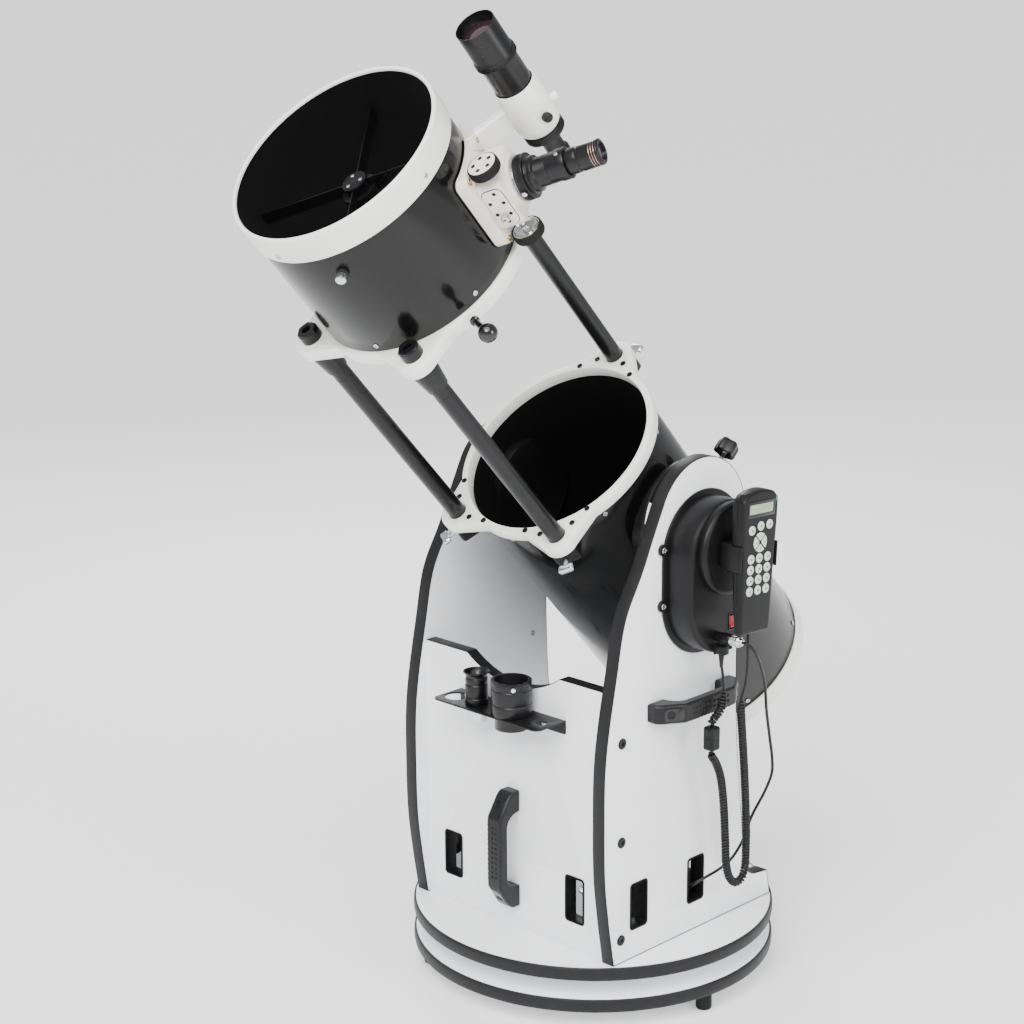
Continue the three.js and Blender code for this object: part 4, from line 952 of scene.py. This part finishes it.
enamel_white = coat("white_stove_enamel", "e9e8e3", {"IOR": 1.52, "Coat Weight": 0.3},
                    ("f3f2ec", "fbfaf6"), 45, (0.22, 0.32), (2.4, 0.02))
for side, node in ((1, "right_altitude_hub"), (-1, "left_altitude_hub")):
    low, high = reach(node, tube)
    out = max(high.x, -low.x)
    # Barrel, bearing rim, the face against the panel, then the end that the panel's bore holds.
    hub = eased([(0, 134), (78, 134), (78, 167.6), (92, 168), (92, 176), (86, 177.5), (74, 179),
                 (74, 185.6), (31, 185.9), (31, out), (20, out), (20, out - 6), (0, out - 6)], 1.2)
    place = tube @ Matrix.Rotation(math.radians(90 * side), 4, "Y")
    fitted(make(node + "_turned", turned(hub, 128), place, nylon), "tube", "black_plastic", node)
    mark = plate(arc(0, 0, 91.2, 200, 250, 20) + arc(0, 0, 80, 250, 200, 20), 175.4, 178.6, 0.3)
    fitted(make(node + "_white_mark", mark, place, enamel_white), "tube", "white_casting")


def gear(teeth, root, tip):
    """The outline of a spur gear with flat-topped teeth."""
    step, shares = 2 * math.pi / teeth, ((root, 0), (root, 0.45), (tip, 0.6), (tip, 0.85))
    return [(radius * math.cos((i + share) * step), radius * math.sin((i + share) * step))
            for i in range(teeth) for radius, share in shares]


for node, body, teeth in (("altitude_gear", "tube", 60), ("altitude_pinion", "pinion", 16)):
    low, high = reach(node, base)
    mid = (low + high) / 2
    place = base @ Matrix.Translation((low.x, mid.y, mid.z)) @ STAND_UP
    tip = (high.y - low.y) / 2
    teeth_plate = plate(gear(teeth, tip - 1.6, tip), 0, high.x - low.x, 0.15,
                        [circle(tip * 0.25, 24)])
    fitted(make(node + "_steel", teeth_plate, place, zinc_plate), body, "chrome", node)
low, high = reach("altitude_motor", base)
mid = (low + high) / 2
radius, length = (high.y - low.y) / 2, high.x - low.x
motor = turned(eased([(0, 0), (radius, 0), (radius, length), (0, length)], 1.5), 64)
place = base @ Matrix.Translation((low.x, mid.y, mid.z)) @ STAND_UP
fitted(make("altitude_motor_can", motor, place, zinc_plate), "rocker", "chrome", "altitude_motor")

# ---- lower tube and mirror end ------------------------------------------------------------------
# Rolled sheet steel, gloss black outside and flocked matt inside, with a cast white ring on its
# rear and the mirror in an open cell.

# Gloss black tube paint, with a sparse fine flake that reads warm under the clear coat.
tube_gloss, tree, shader, where = begin(
    "gloss_black_flake_enamel", "0a0a0a",
    {"Specular IOR Level": 0.25, "Coat Weight": 0.22, "Coat Roughness": 0.08})
mottled(tree, shader, where, ("080808", "0c0c0c"), 120, (0.16, 0.22))
flake = add(tree, "ShaderNodeTexVoronoi", {"Scale": 1000 / 0.9}, {"Vector": where})
fleck = add(tree, "ShaderNodeMapRange", {"From Min": 0.0, "From Max": 0.25, "To Min": 1.0, "To Max": 0.0},
            {"Value": flake.outputs["Distance"]})
flecked = add(tree, "ShaderNodeMix", {"data_type": "RGBA", 6: linear("0a0a0a"), 7: linear("2a2420")},
              {0: fleck.outputs["Result"]})
tree.links.new(flecked.outputs[2], shader.inputs["Base Color"])

# Flat black inside the tubes.
matt_black = coat("flat_black_interior", "060606", {"Specular IOR Level": 0.15},
                  ("040404", "090909"), 10, (0.85, 0.95))

# First-surface aluminium on glass.
silvered = coat("aluminised_mirror_coat", "e2e5e8", {"Metallic": 1.0},
                ("dfe2e6", "e7eaec"), 90, (0.02, 0.03))


SKIN = 154.4  # the tubes' outer radius


def tube_shell(name, node, body):
    """A sheet-steel tube with its rolled ends: gloss outside and a matt lining inside."""
    low, high = reach(node, tube)
    skin = eased([(SKIN - 1, low.z), (SKIN, low.z), (SKIN, high.z), (SKIN - 1, high.z)], 0.3)
    fitted(make(name, turned(skin, 192), tube, tube_gloss), body, "black_tube", node)
    start, end = low.z + 0.3, high.z - 0.3
    lining = [(SKIN - 1.35, start), (SKIN - 1.05, start), (SKIN - 1.05, end), (SKIN - 1.35, end)]
    fitted(make(name + "_lining", turned(lining, 192), tube, matt_black), body, "black_tube")


tube_shell("lower_tube_skin", "lower_tube", "tube")
low, high = reach("rear_ring", tube)
cast_ring = eased([(149, low.z), (156.5, low.z), (158, low.z + 3), (158, high.z - 1), (157, high.z),
                   (154.6, high.z), (154.6, low.z + 5.4), (149, low.z + 5.4)], 0.8)
fitted(make("rear_ring_white", turned(cast_ring, 192), tube, enamel_white),
       "tube", "white_ring", "rear_ring")
low, high = reach("primary_mirror", tube)
disc = eased([(0, low.z), (high.x, low.z), (high.x, high.z), (0, high.z - 1.5)], 1)
fitted(make("primary_mirror_glass", turned(disc, 128), tube, silvered),
       "tube", "mirror", "primary_mirror")


def recoat(node, finish):
    """Keeps a solid as it is and gives it a finish."""
    piece = frame["nodes"][node]
    piece.data.materials.clear()
    piece.data.materials.append(finish)


recoat("mirror_cell", powder_black)

# ---- truss plates and struts --------------------------------------------------------------------
# Two cast aluminium ring plates with three lobes, enamelled white. Three black anodised struts
# slide through the lower plate and are bolted into cups under the upper one.

LOBES = (90, 235, 305)
LOBE_AT, LOBE_RADIUS, PLATE_RADIUS, LOBE_SPREAD = 178.5, 28, 162, 41.35
STRUT_BORE, OPENING = 13.9, 151.6  # radii of the holes for a strut and for the light


def lobed():
    """The plates' outline: a circle with a straight-sided lobe for each strut."""
    spots = []
    for lobe, following in zip(LOBES, (*LOBES[1:], LOBES[0] + 360)):
        x, y, _ = outward(LOBE_AT, math.radians(lobe), 0)[0]
        spots += arc(x, y, LOBE_RADIUS, lobe - 62, lobe + 62, 20)
        spots += arc(0, 0, PLATE_RADIUS, lobe + LOBE_SPREAD / 2, following - LOBE_SPREAD / 2, 40)
    return spots


strut_spots = [outward(LOBE_AT, math.radians(a), 0)[0][:2] for a in LOBES]
for name, node, body in (("lower_truss_plate", "lower_plate", "tube"),
                         ("upper_truss_plate", "upper_plate", "upper")):
    low, high = reach(node, tube)
    bores = [circle(STRUT_BORE, 32, x, y) for x, y in strut_spots] if body == "tube" else []
    underside = low.z if body == "upper" else high.z - 20
    ring_shape = plate(lobed(), underside, high.z, 1.8, [circle(OPENING, 120), *bores])
    clamps = []
    if body == "tube":
        for angle in LOBES:
            block = rounded(158.5, 198.5, -20, 20, 7)
            bore = circle(STRUT_BORE, 32, LOBE_AT, 0)
            points, faces = plate(block, 94.8, high.z - 19, 2, [bore])
            turned_to = Matrix.Rotation(math.radians(angle), 4, "Z")
            clamps.append(([turned_to @ Vector(p) for p in points], faces))
    fitted(make(name, ring_shape, tube, enamel_white), body, "white_casting", node)
    if clamps:
        fitted(make("strut_clamps", joined(*clamps), tube, nylon), body, "black_plastic")
low, high = reach("upper_plate", tube)
low_plate_top = reach("lower_plate", tube)[1].z
for number, (x, y) in enumerate(strut_spots, 1):
    node = f"strut_{number}"
    start, end = [corner.z for corner in reach(node, tube)]
    stand_at = tube @ Matrix.Translation((x, y, 0))
    rod_profile = [(0, start), (12.5, start), (13.5, start + 1), (13.5, start + 14), (13.1, start + 14.5),
                   (13.1, start + 15.5), (13.5, start + 16), (13.5, low.z - 62), (13.1, low.z - 61.5),
                   (13.1, low.z - 60.5), (13.5, low.z - 60), (13.5, low.z - 45), (16, low.z - 45),
                   (20, low.z - 12), (20, low.z), (13.4, low.z), (13.4, high.z), (15.5, high.z),
                   (15.5, end - 3), (13.5, end), (7.5, end), (7.5, end - 7), (0, end - 7)]
    fitted(make(node + "_rod", turned(rod_profile, 48), stand_at, anodised), "upper", "black_metal", node)
    cap = plate(circle(15.6, 6), high.z + 0.6, end + 0.3, 1.2, [circle(7.4, 6)])
    fitted(make(node + "_hex_cap", cap, stand_at, anodised), "upper", "black_metal")
    lock = f"strut_lock_{number}"
    out = Vector((x, y, 0)).normalized()
    place = tube @ axes((0, 0, 106.8), (0, 0, 1), out) @ Matrix.Scale(1000, 4)
    tee = joined(turned(eased([(0, 192), (4, 192), (4, 214), (0, 214)], 0.5), 20),
                 layered(rounded(-4.5, 4.5, -12, 12, 4), [(1.4, 213), (0.4, 213.4), (0, 214.6), (0, 222.4),
                                                          (0.6, 223.8), (2, 224.4)]))
    fitted(make(lock + "_tee", tee, place, chrome), f"lock_{number}", "chrome", lock)

# Screws of the plates: black cross-heads beside each strut below, small bright ones on the tubes.
SCREW_SEAT = SKIN - 0.2
beside = [(outward(radius, math.radians(lobe + a), low_plate_top - 0.3)[0], (0, 0, 1))
          for lobe in LOBES for a, radius in ((-9, 168), (9, 168), (-19, 157), (19, 157))]
fitted(repeated("lower_plate_screws", drive_head(4.6, 1.6, 2.4, 4), beside, tube, black_oxide),
       "tube", "black_metal")
around = [outward(SCREW_SEAT, math.radians(a), z) for z in (-400, 108) for a in range(30, 390, 60)]
fitted(repeated("lower_tube_screws", drive_head(3.8, 1.8, 2, 4), around, tube, zinc_plate),
       "tube", "chrome")

# ---- upper tube, front ring and spider ----------------------------------------------------------
# The short front tube, its enamelled ring with a rolled lip, and four thin vanes that carry the
# secondary mirror's holder.

tube_shell("upper_tube_skin", "upper_tube", "upper")
low, high = reach("front_ring", tube)
lip_ring = eased([(154.6, low.z), (157, low.z), (158, low.z + 1.2), (158, high.z - 3),
                  (156.6, high.z - 0.6), (154.8, high.z), (152.6, high.z - 0.6), (OPENING, high.z - 3),
                  (OPENING, high.z - 5), (154.6, high.z - 5.4)], 0.8)
fitted(make("front_ring_white", turned(lip_ring, 192), tube, enamel_white),
       "upper", "white_ring", "front_ring")
around = [outward(SCREW_SEAT, math.radians(a), 560) for a in range(-15, 345, 60)]
around += [outward(157.8, math.radians(a), 745) for a in range(0, 360, 90)]
fitted(repeated("upper_tube_screws", drive_head(3.8, 1.8, 2, 4), around, tube, zinc_plate),
       "upper", "chrome")
recoat("spider", anodised)
recoat("secondary_mirror", silvered)

hub_top = reach("spider", tube)[1].z
hub_screws = [(outward(11, a, hub_top - 0.2)[0], (0, 0, 1)) for a in (0.3, 2.4, 4.5)]
fitted(repeated("spider_hub_screws", drive_head(3.2, 1.6, 1.6), hub_screws, tube, zinc_plate),
       "upper", "chrome")
hub_rim = turned(eased([(5, hub_top - 1), (16, hub_top - 1), (16, hub_top + 0.8),
                        (14.6, hub_top + 0.8), (14.6, hub_top + 0.1), (5, hub_top + 0.1)], 0.2), 64)
fitted(make("spider_hub_rim", hub_rim, tube, nylon), "upper", "black_metal")

# ---- focuser ------------------------------------------------------------------------------------
# A rack-and-pinion focuser cast in pearl cream: a saddle flange with raised corner pads, a block
# with a screwed side plate, and a collar that the drawtube runs in.

focus_out = Vector(joints["focus_slide"]["axis"])
FOCUSER_STATION = 633.6
focuser = axes(tube @ Vector((0, 0, FOCUSER_STATION)), along_tube, focus_out)
focuser_cast = coat("pearl_cream_casting", "d9d3bf",
                    {"IOR": 1.5, "Coat Weight": 0.35, "Coat Roughness": 0.12},
                    ("dedacb", "e9e6da"), 14, (0.26, 0.36), (1.0, 0.02))

SADDLE = 155.2  # radius of the flange's underside


def saddle(outline, top, ease):
    """A flange on the tube: flat above, and curved below to sit on the tube."""
    points, faces = plate(outline, SADDLE, top, ease)
    bent = []
    for x, y, z in points:
        seat = math.sqrt(SADDLE**2 - y**2)
        bent.append((x, y, seat + (z - SADDLE) if z < SADDLE + ease + 0.01 else z))
    return bent, faces


def split_long(outline, step):
    """An outline with extra points on its long sides, so that it can follow a curve."""
    done = []
    for a, b in zip(outline, [*outline[1:], outline[0]]):
        count = max(1, math.ceil(math.dist(a, b) / step))
        done += [(a[0] + (b[0] - a[0]) * i / count, a[1] + (b[1] - a[1]) * i / count)
                 for i in range(count)]
    return done


flange = saddle(split_long(rounded(-62, 62, -46, 52, 12), 6), 166, 1.6)
points, faces = plate(split_long(rounded(-62.8, 62.8, -46.6, 52.6, 12.6), 6), SADDLE, SADDLE + 1.8, 0.3)
gasket = ([(x, y, z - SADDLE + math.sqrt(SADDLE**2 - y**2)) for x, y, z in points], faces)
block = plate(rounded(-40, 40, -36, 46, 10), 160, 202, 2.5)
collar = turned(eased([(25.9, 190), (36, 190), (36, 208), (33, 208.4), (25.9, 208.2)], 1.2), 96)
lug = plate(rounded(20, 42, -12, 12, 8), 186, 206, 2)
pads = []
for sx, sy in ((1, 1), (1, -1), (-1, 1), (-1, -1)):
    pad = [(sx * 60, sy * 41 + 3), (sx * 34, sy * 44 + 3), (sx * 57, sy * 20 + 3)]
    pads.append(plate(pad if sx * sy < 0 else pad[::-1], 165, 168.2, 1.0))
fitted(make("focuser_casting", joined(flange, block, collar, lug, *pads), focuser, focuser_cast),
       "upper", "cream_casting", "focuser_base")
fitted(make("focuser_gasket", gasket, focuser, cord_pvc), "upper", "black_plastic")
BLOCK_SIDE, PLATE_UP = 46, 184  # the block's face along Y, and the height of its side plate
# Painted shade: a thin flat-black sheet under the side plate, a millimetre wider than the plate, shows as
# the shaded groove round it.
painted_groove_shade = plate(rounded(-32, 33, -15.6, 15.6, 10), 0, 0.25, 0.05)
cover_plate = plate(rounded(-31, 32, -14.6, 14.6, 9), 0, 1.7, 0.6)
for name, shape, finish in (("focuser_plate_groove", painted_groove_shade, matt_black),
                            ("focuser_side_plate", cover_plate, focuser_cast)):
    points = [(x, BLOCK_SIDE + z - 0.2, PLATE_UP + y) for x, y, z in shape[0]]
    piece = make(name, (points, shape[1]), focuser, finish)
    fitted(piece, "upper", "black_plastic" if finish is matt_black else "cream_casting")
spots = [((x, BLOCK_SIDE + 1.4, PLATE_UP + z), (0, 1, 0))
         for x, z in ((-24, 0), (-12, 9), (-8, -9), (8, 9), (12, -9), (26, 4))]
fitted(repeated("focuser_plate_screws", drive_head(2.7, 0.7, 1.5), spots, focuser, black_oxide),
       "upper", "black_metal")
corner = [((x, y, 166), (0, 0, 1)) for x in (-54, 54) for y in (-38.5, 44)]
brass = coat("brass_screw", "b99a5b", {"Metallic": 1.0},
             ("ad8e50", "c6a869"), 3, (0.2, 0.32))
fitted(repeated("focuser_flange_screws", drive_head(4.6, 2.6, 2.4, 4), corner, focuser, brass),
       "upper", "chrome")


def ribbed(head, radius, count, low, high):
    """A knob with thin square ribs round its rim."""
    sides = [(0, 1, 2, 3), (4, 5, 6, 7), (0, 1, 5, 4), (1, 2, 6, 5), (2, 3, 7, 6), (3, 0, 4, 7)]
    ribs = []
    for a in evenly(count):
        x, y = radius * math.cos(a), radius * math.sin(a)
        ribs.append(([(x + dx, y + dy, z) for z in (low, high)
                      for dx, dy in ((-0.5, -0.5), (0.5, -0.5), (0.5, 0.5), (-0.5, 0.5))], sides))
    return joined(head, *ribs)


knob_head = ribbed(
    turned(eased([(0, -8), (2, -8), (2, 0), (6.4, 0), (6.4, 9), (5, 10), (0, 10)], 0.6), 40), 6.3, 20, 1, 8)
fitted(repeated("focus_tension_screw", knob_head, [((-14, 48.5, PLATE_UP), (0, 1, 0))],
                focuser, chrome, 0.85), "upper", "chrome")

# Focus shaft and its two knobs: black rubber rims on chrome, one with a dimpled pearl face.
SHAFT_Y, SHAFT_Z = 33, 191
shaft_place = (focuser @ Matrix.Translation((0, SHAFT_Y, SHAFT_Z))
               @ Matrix.Rotation(math.radians(90), 4, "Y"))
shaft = turned(eased([(0, -68), (6, -68), (6, -52), (4, -50), (4, 50), (6, 52), (6, 67), (0, 67)], 0.5), 32)
fitted(make("focus_shaft_rod", shaft, shaft_place, chrome), "focus_drive", "chrome", "focus_shaft")
grain = turned([(0, -0.4), (1.2, -0.3), (0.9, 0.3), (0, 0.5)], 5)
for end, low_z, high_z in (("front", 54, 68), ("rear", -68, -54)):
    tyre = turned(eased([(19.6, low_z), (21.4, low_z), (22, low_z + 1.4), (22, high_z - 1.4),
                         (21.4, high_z), (19.6, high_z)], 0.5), 72)
    fitted(make(f"focus_knob_tyre_{end}", tyre, shaft_place, foot_rubber), "focus_drive", "black_plastic")
    if end == "front":
        web = turned(eased([(0, low_z + 2), (19.8, low_z + 2), (19.8, high_z + 0.4), (5, high_z + 0.4),
                            (4, high_z - 0.4), (0, high_z - 0.4)], 0.4), 64)
        dimple = turned([(0, 0), (3.2, 0), (3, 0.35), (2.1, 0.35), (1.6, 0.1), (0, 0.1)], 24)
        dots = [(outward(12.4, a, high_z + 0.35)[0], (0, 0, 1)) for a in evenly(5)]
        fitted(repeated("focus_knob_dimples", dimple, dots, shaft_place, nylon),
               "focus_drive", "black_plastic")
    else:
        web = turned([(0, high_z - 12), (19.8, high_z - 12), (19.8, high_z - 0.4), (18.6, high_z),
                      (17, high_z - 3), (9, high_z - 9), (0, high_z - 10)], 64)
    finish, slot = (focuser_cast, "cream_casting") if end == "front" else (chrome, "chrome")
    fitted(make(f"focus_knob_face_{end}", web, shaft_place, finish), "focus_drive", slot)
    grip = [outward(22, a, z) for a in evenly(40) for z in (low_z + 4, low_z + 7, low_z + 10)]
    fitted(repeated(f"focus_knob_grip_{end}", grain, grip, shaft_place, foot_rubber),
           "focus_drive", "black_plastic")

# ---- drawtube and eyepiece ----------------------------------------------------------------------
# A chromed drawtube with a knurled clamp ring and an adapter, and the eyepiece with gold rings.

draw = turned(eased([(23.4, 140), (25.4, 140), (25.4, 213), (23.4, 213)], 0.5), 96)
# Barrel, clamp ring, three grooves, neck and the collar that holds the eyepiece, from the inside out.
adapter = turned(eased([(12, 207), (24.6, 207), (24.6, 212), (31.5, 212), (31.5, 214), (30.6, 214.6),
                        (30.6, 222.4), (31.5, 223), (31.5, 225), (25, 225), (25, 227), (24.2, 227.6),
                        (25, 228.2), (24.2, 229), (25, 229.8), (25, 235), (20.6, 237), (20.6, 252),
                        (20, 252.5), (20, 253.5), (20.6, 254), (20.6, 268), (21.8, 268), (21.8, 281),
                        (16.2, 281), (16.2, 240), (12, 236)], 0.35), 96)
fitted(make("drawtube_chrome", draw, focuser, chrome), "focus_tube", "chrome")
fitted(make("drawtube_adapter", adapter, focuser, anodised), "focus_tube", "black_metal", "drawtube")
rib_head = turned(eased([(0, -0.5), (0.8, -0.5), (0.8, 0.7), (0, 0.8)], 0.2), 5)
ring_ribs = [outward(30.7, a, z) for a in evenly(72) for z in (215.6, 217.6, 219.6, 221.6)]
fitted(repeated("clamp_ring_knurl", rib_head, ring_ribs, focuser, anodised), "focus_tube", "black_metal")
thumbs = [((0, sign * 31, 218.5), (0, sign, 0)) for sign in (1, -1)]
fitted(repeated("drawtube_thumbscrews", knob_head, thumbs, focuser, chrome, 0.55), "focus_tube", "chrome")
fitted(repeated("adapter_side_screw", knob_head, [((21, 5, 274), (0.97, 0.24, 0))], focuser, chrome, 0.42),
       "focus_tube", "chrome")

gold = coat("rose_gold_ring", "c79a7c", {"Metallic": 1.0},
            ("bd8f70", "d2a88a"), 6, (0.18, 0.28))
low, high = 281, reach("eyepiece", focuser)[1].z
housing = eased([(0, 257), (14.6, 257), (15.8, 258), (15.8, low + 0.2), (18, low + 0.2), (18, low + 14),
                 (17.2, low + 15), (17.2, low + 18), (18, low + 19), (18, high - 2), (17.6, high - 1.2),
                 (15.8, high), (12, high), (12, high - 5), (0, high - 5)], 0.4)
fitted(make("eyepiece_housing", turned(housing, 72), focuser, anodised),
       "eyepiece_body", "black_metal", "eyepiece")
glass = turned([(0, high - 6), (11.9, high - 6), (11.9, high - 4.4), (7, high - 3.4), (0, high - 3)], 48)
fitted(make("eyepiece_lens", glass, focuser, lens_glass), "eyepiece_body", "black_metal")
bands = [turned(eased([(16, z), (18.25, z), (18.25, z + 0.9), (16, z + 0.9)], 0.3), 72)
         for z in (low + 36, low + 39.5, low + 43)]
fitted(make("eyepiece_gold_rings", joined(*bands), focuser, gold), "eyepiece_body", "chrome")

# ---- finder -------------------------------------------------------------------------------------
# A straight optical finder in a white cast bracket with two rings, held by nylon-tipped screws and
# a spring piston. Its stem slides into a shoe on the front tube.

FINDER_ANGLE, FINDER_OUT = 55, 248.5
finder = tube @ Matrix.Rotation(math.radians(FINDER_ANGLE), 4, "Z")
sight = finder @ Matrix.Translation((FINDER_OUT, 0, 0))
# Eyepiece, focusing ring, barrel, lock ring and dew shield, from the eye's end to the sky's.
scope = eased([(0, 557), (14, 557), (17, 555.7), (17, 577.7), (14, 577.7), (14, 606), (21, 611.7),
               (29, 611.7), (29, 623.7), (26.7, 623.7), (26.7, 749.7), (30, 749.7), (30, 759.7),
               (28.5, 759.7), (28.5, 809.7), (27, 809.7), (27, 792), (0, 792)], 0.5)
fitted(make("finder_scope_body", turned(scope, 96), sight, anodised), "upper", "black_metal", "finder_scope")
glass = turned([(0, 792), (26.8, 792), (26.8, 794), (18, 797.4), (9, 799), (0, 799.4)], 64)
fitted(make("finder_objective", glass, sight, lens_glass), "upper", "black_metal")
for name, radius, start, end, count in (("finder_focus_knurl", 28.9, 613.5, 622, 72),
                                        ("finder_lock_knurl", 29.9, 751, 758.5, 80)):
    ribs = [outward(radius, a, z) for a in evenly(count) for z in np.arange(start, end, 2)]
    fitted(repeated(name, rib_head, ribs, sight, anodised), "upper", "black_metal")
holder = turned(eased([(27.2, 624.5), (29.5, 627.7), (32.5, 637.7), (33, 667.7), (30.2, 703.7), (28, 703.7),
                       (28, 690), (27.2, 680)], 0.6), 96)
shoe = layered([(x + 156.5, y) for x, y in rounded(-12.5, 12.5, -20, 20, 3)],
               [(1, 619.7), (0, 621), (0, 684.4), (1, 685.7)])
points, faces = layered(rounded(-22, 22, -8, 8, 5), [(2, 0), (0.5, 2), (0, 6), (1.5, 40), (1.5, 66)])
# The stem narrows and leans forward as it rises from the tube.
stem = ([(z + 152, y, x * (1 - 0.0035 * z) + 655 + z * 0.12) for x, y, z in points], faces)
fitted(make("finder_bracket_ring", holder, sight, enamel_white),
       "upper", "white_casting", "finder_bracket")
fitted(make("finder_bracket_stem", stem, finder, enamel_white), "upper", "white_casting")
fitted(make("finder_shoe", shoe, finder, focuser_cast), "upper", "cream_casting")
adjusters = [outward(32.5, math.radians(a), 652) for a in (70, -70)]
fitted(repeated("finder_adjusters", knob_head, adjusters, sight, anodised), "upper", "black_metal")
piston = turned(eased([(0, -4), (5.5, -4), (5.5, 8), (4, 9), (0, 9)], 0.6), 32)
fitted(repeated("finder_spring_piston", piston, [((32.4, 0, 652), (1, 0, 0))], sight, enamel_white),
       "upper", "white_casting")
fitted(repeated("finder_shoe_screw", knob_head, [((157, 20, 652), (0, 1, 0))], finder, anodised, 0.8),
       "upper", "black_metal")

# ---- tilt clutch knob and guide knob ------------------------------------------------------------
# A five-lobed nylon knob on a chromed stem above the right hub, and a ball knob under the front tube.

low, high = reach("clutch_knob", tube)
mid = (low + high) / 2
clutch = axes(tube @ Vector((mid.x, 0, mid.z)), along_tube, joints["clutch_knob_turn"]["axis"])
lobes = [outward(16.4 + 1.6 * math.cos(5 * a), a, 0)[0][:2] for a in evenly(90)]
star = layered(lobes, [(3, 126), (1, 127), (0, 129.5), (0, 143), (1, 146.5), (3.6, 148.6), (7, 149)])
stem = turned(eased([(0, 96.5), (6, 96.5), (6, 104), (4, 105), (4, 127), (0, 127)], 0.5), 32)
fitted(make("clutch_star_knob", star, clutch, nylon), "clutch", "black_plastic", "clutch_knob")
fitted(make("clutch_stem", stem, clutch, chrome), "clutch", "chrome")

# Ball knob under the front tube: a phenolic ball on a black stem.
phenolic = coat("polished_black_phenolic", "0e0e0f", {"IOR": 1.6},
                ("0c0c0d", "131314"), 10, (0.06, 0.12))
ball_at = Vector((191, -85, 538))
stem_at = Vector((156, -70, 540))
way = (ball_at - stem_at).normalized()
rise = (ball_at - stem_at).length
BALL = 13.5
profile = [(0, 0), (7, 0), (7, 3), (4.5, 4.5), (4.5, rise - 10)]
profile += [(max(0, BALL * math.cos(math.radians(a))), rise + BALL * math.sin(math.radians(a)))
            for a in range(-68, 91, 8)] + [(0, rise + BALL)]
points, faces = turned(profile, 48)
leaning = Vector((0, 0, 1)).rotation_difference(way).to_matrix().to_4x4()
knob = make("ball_knob", ([Matrix.Translation(stem_at) @ leaning @ Vector(p) for p in points], faces),
            tube, phenolic)
fitted(knob, "upper", "black_plastic")

# Knurled chrome locking knob on the front tube, seated in a black boss.
lock_angle, lock_station = math.radians(-62), 700
boss_shape = turned(eased([(0, -3), (9, -3), (9, 4), (7, 5.5), (0, 5.5)], 0.8), 40)
fitted(repeated("tube_lock_boss", boss_shape, [outward(SKIN, lock_angle, lock_station)], tube, nylon),
       "upper", "black_plastic")
fitted(repeated("tube_lock_knob", knob_head, [outward(160, lock_angle, lock_station)], tube, chrome, 1.1),
       "upper", "chrome")

# ---- size of the finished model -----------------------------------------------------------------
# The box of the solids and the box of these pieces, as plain lists of metres.

low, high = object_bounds()
{"cad": [list(cad_low), list(cad_high)], "visual": [list(low), list(high)]}
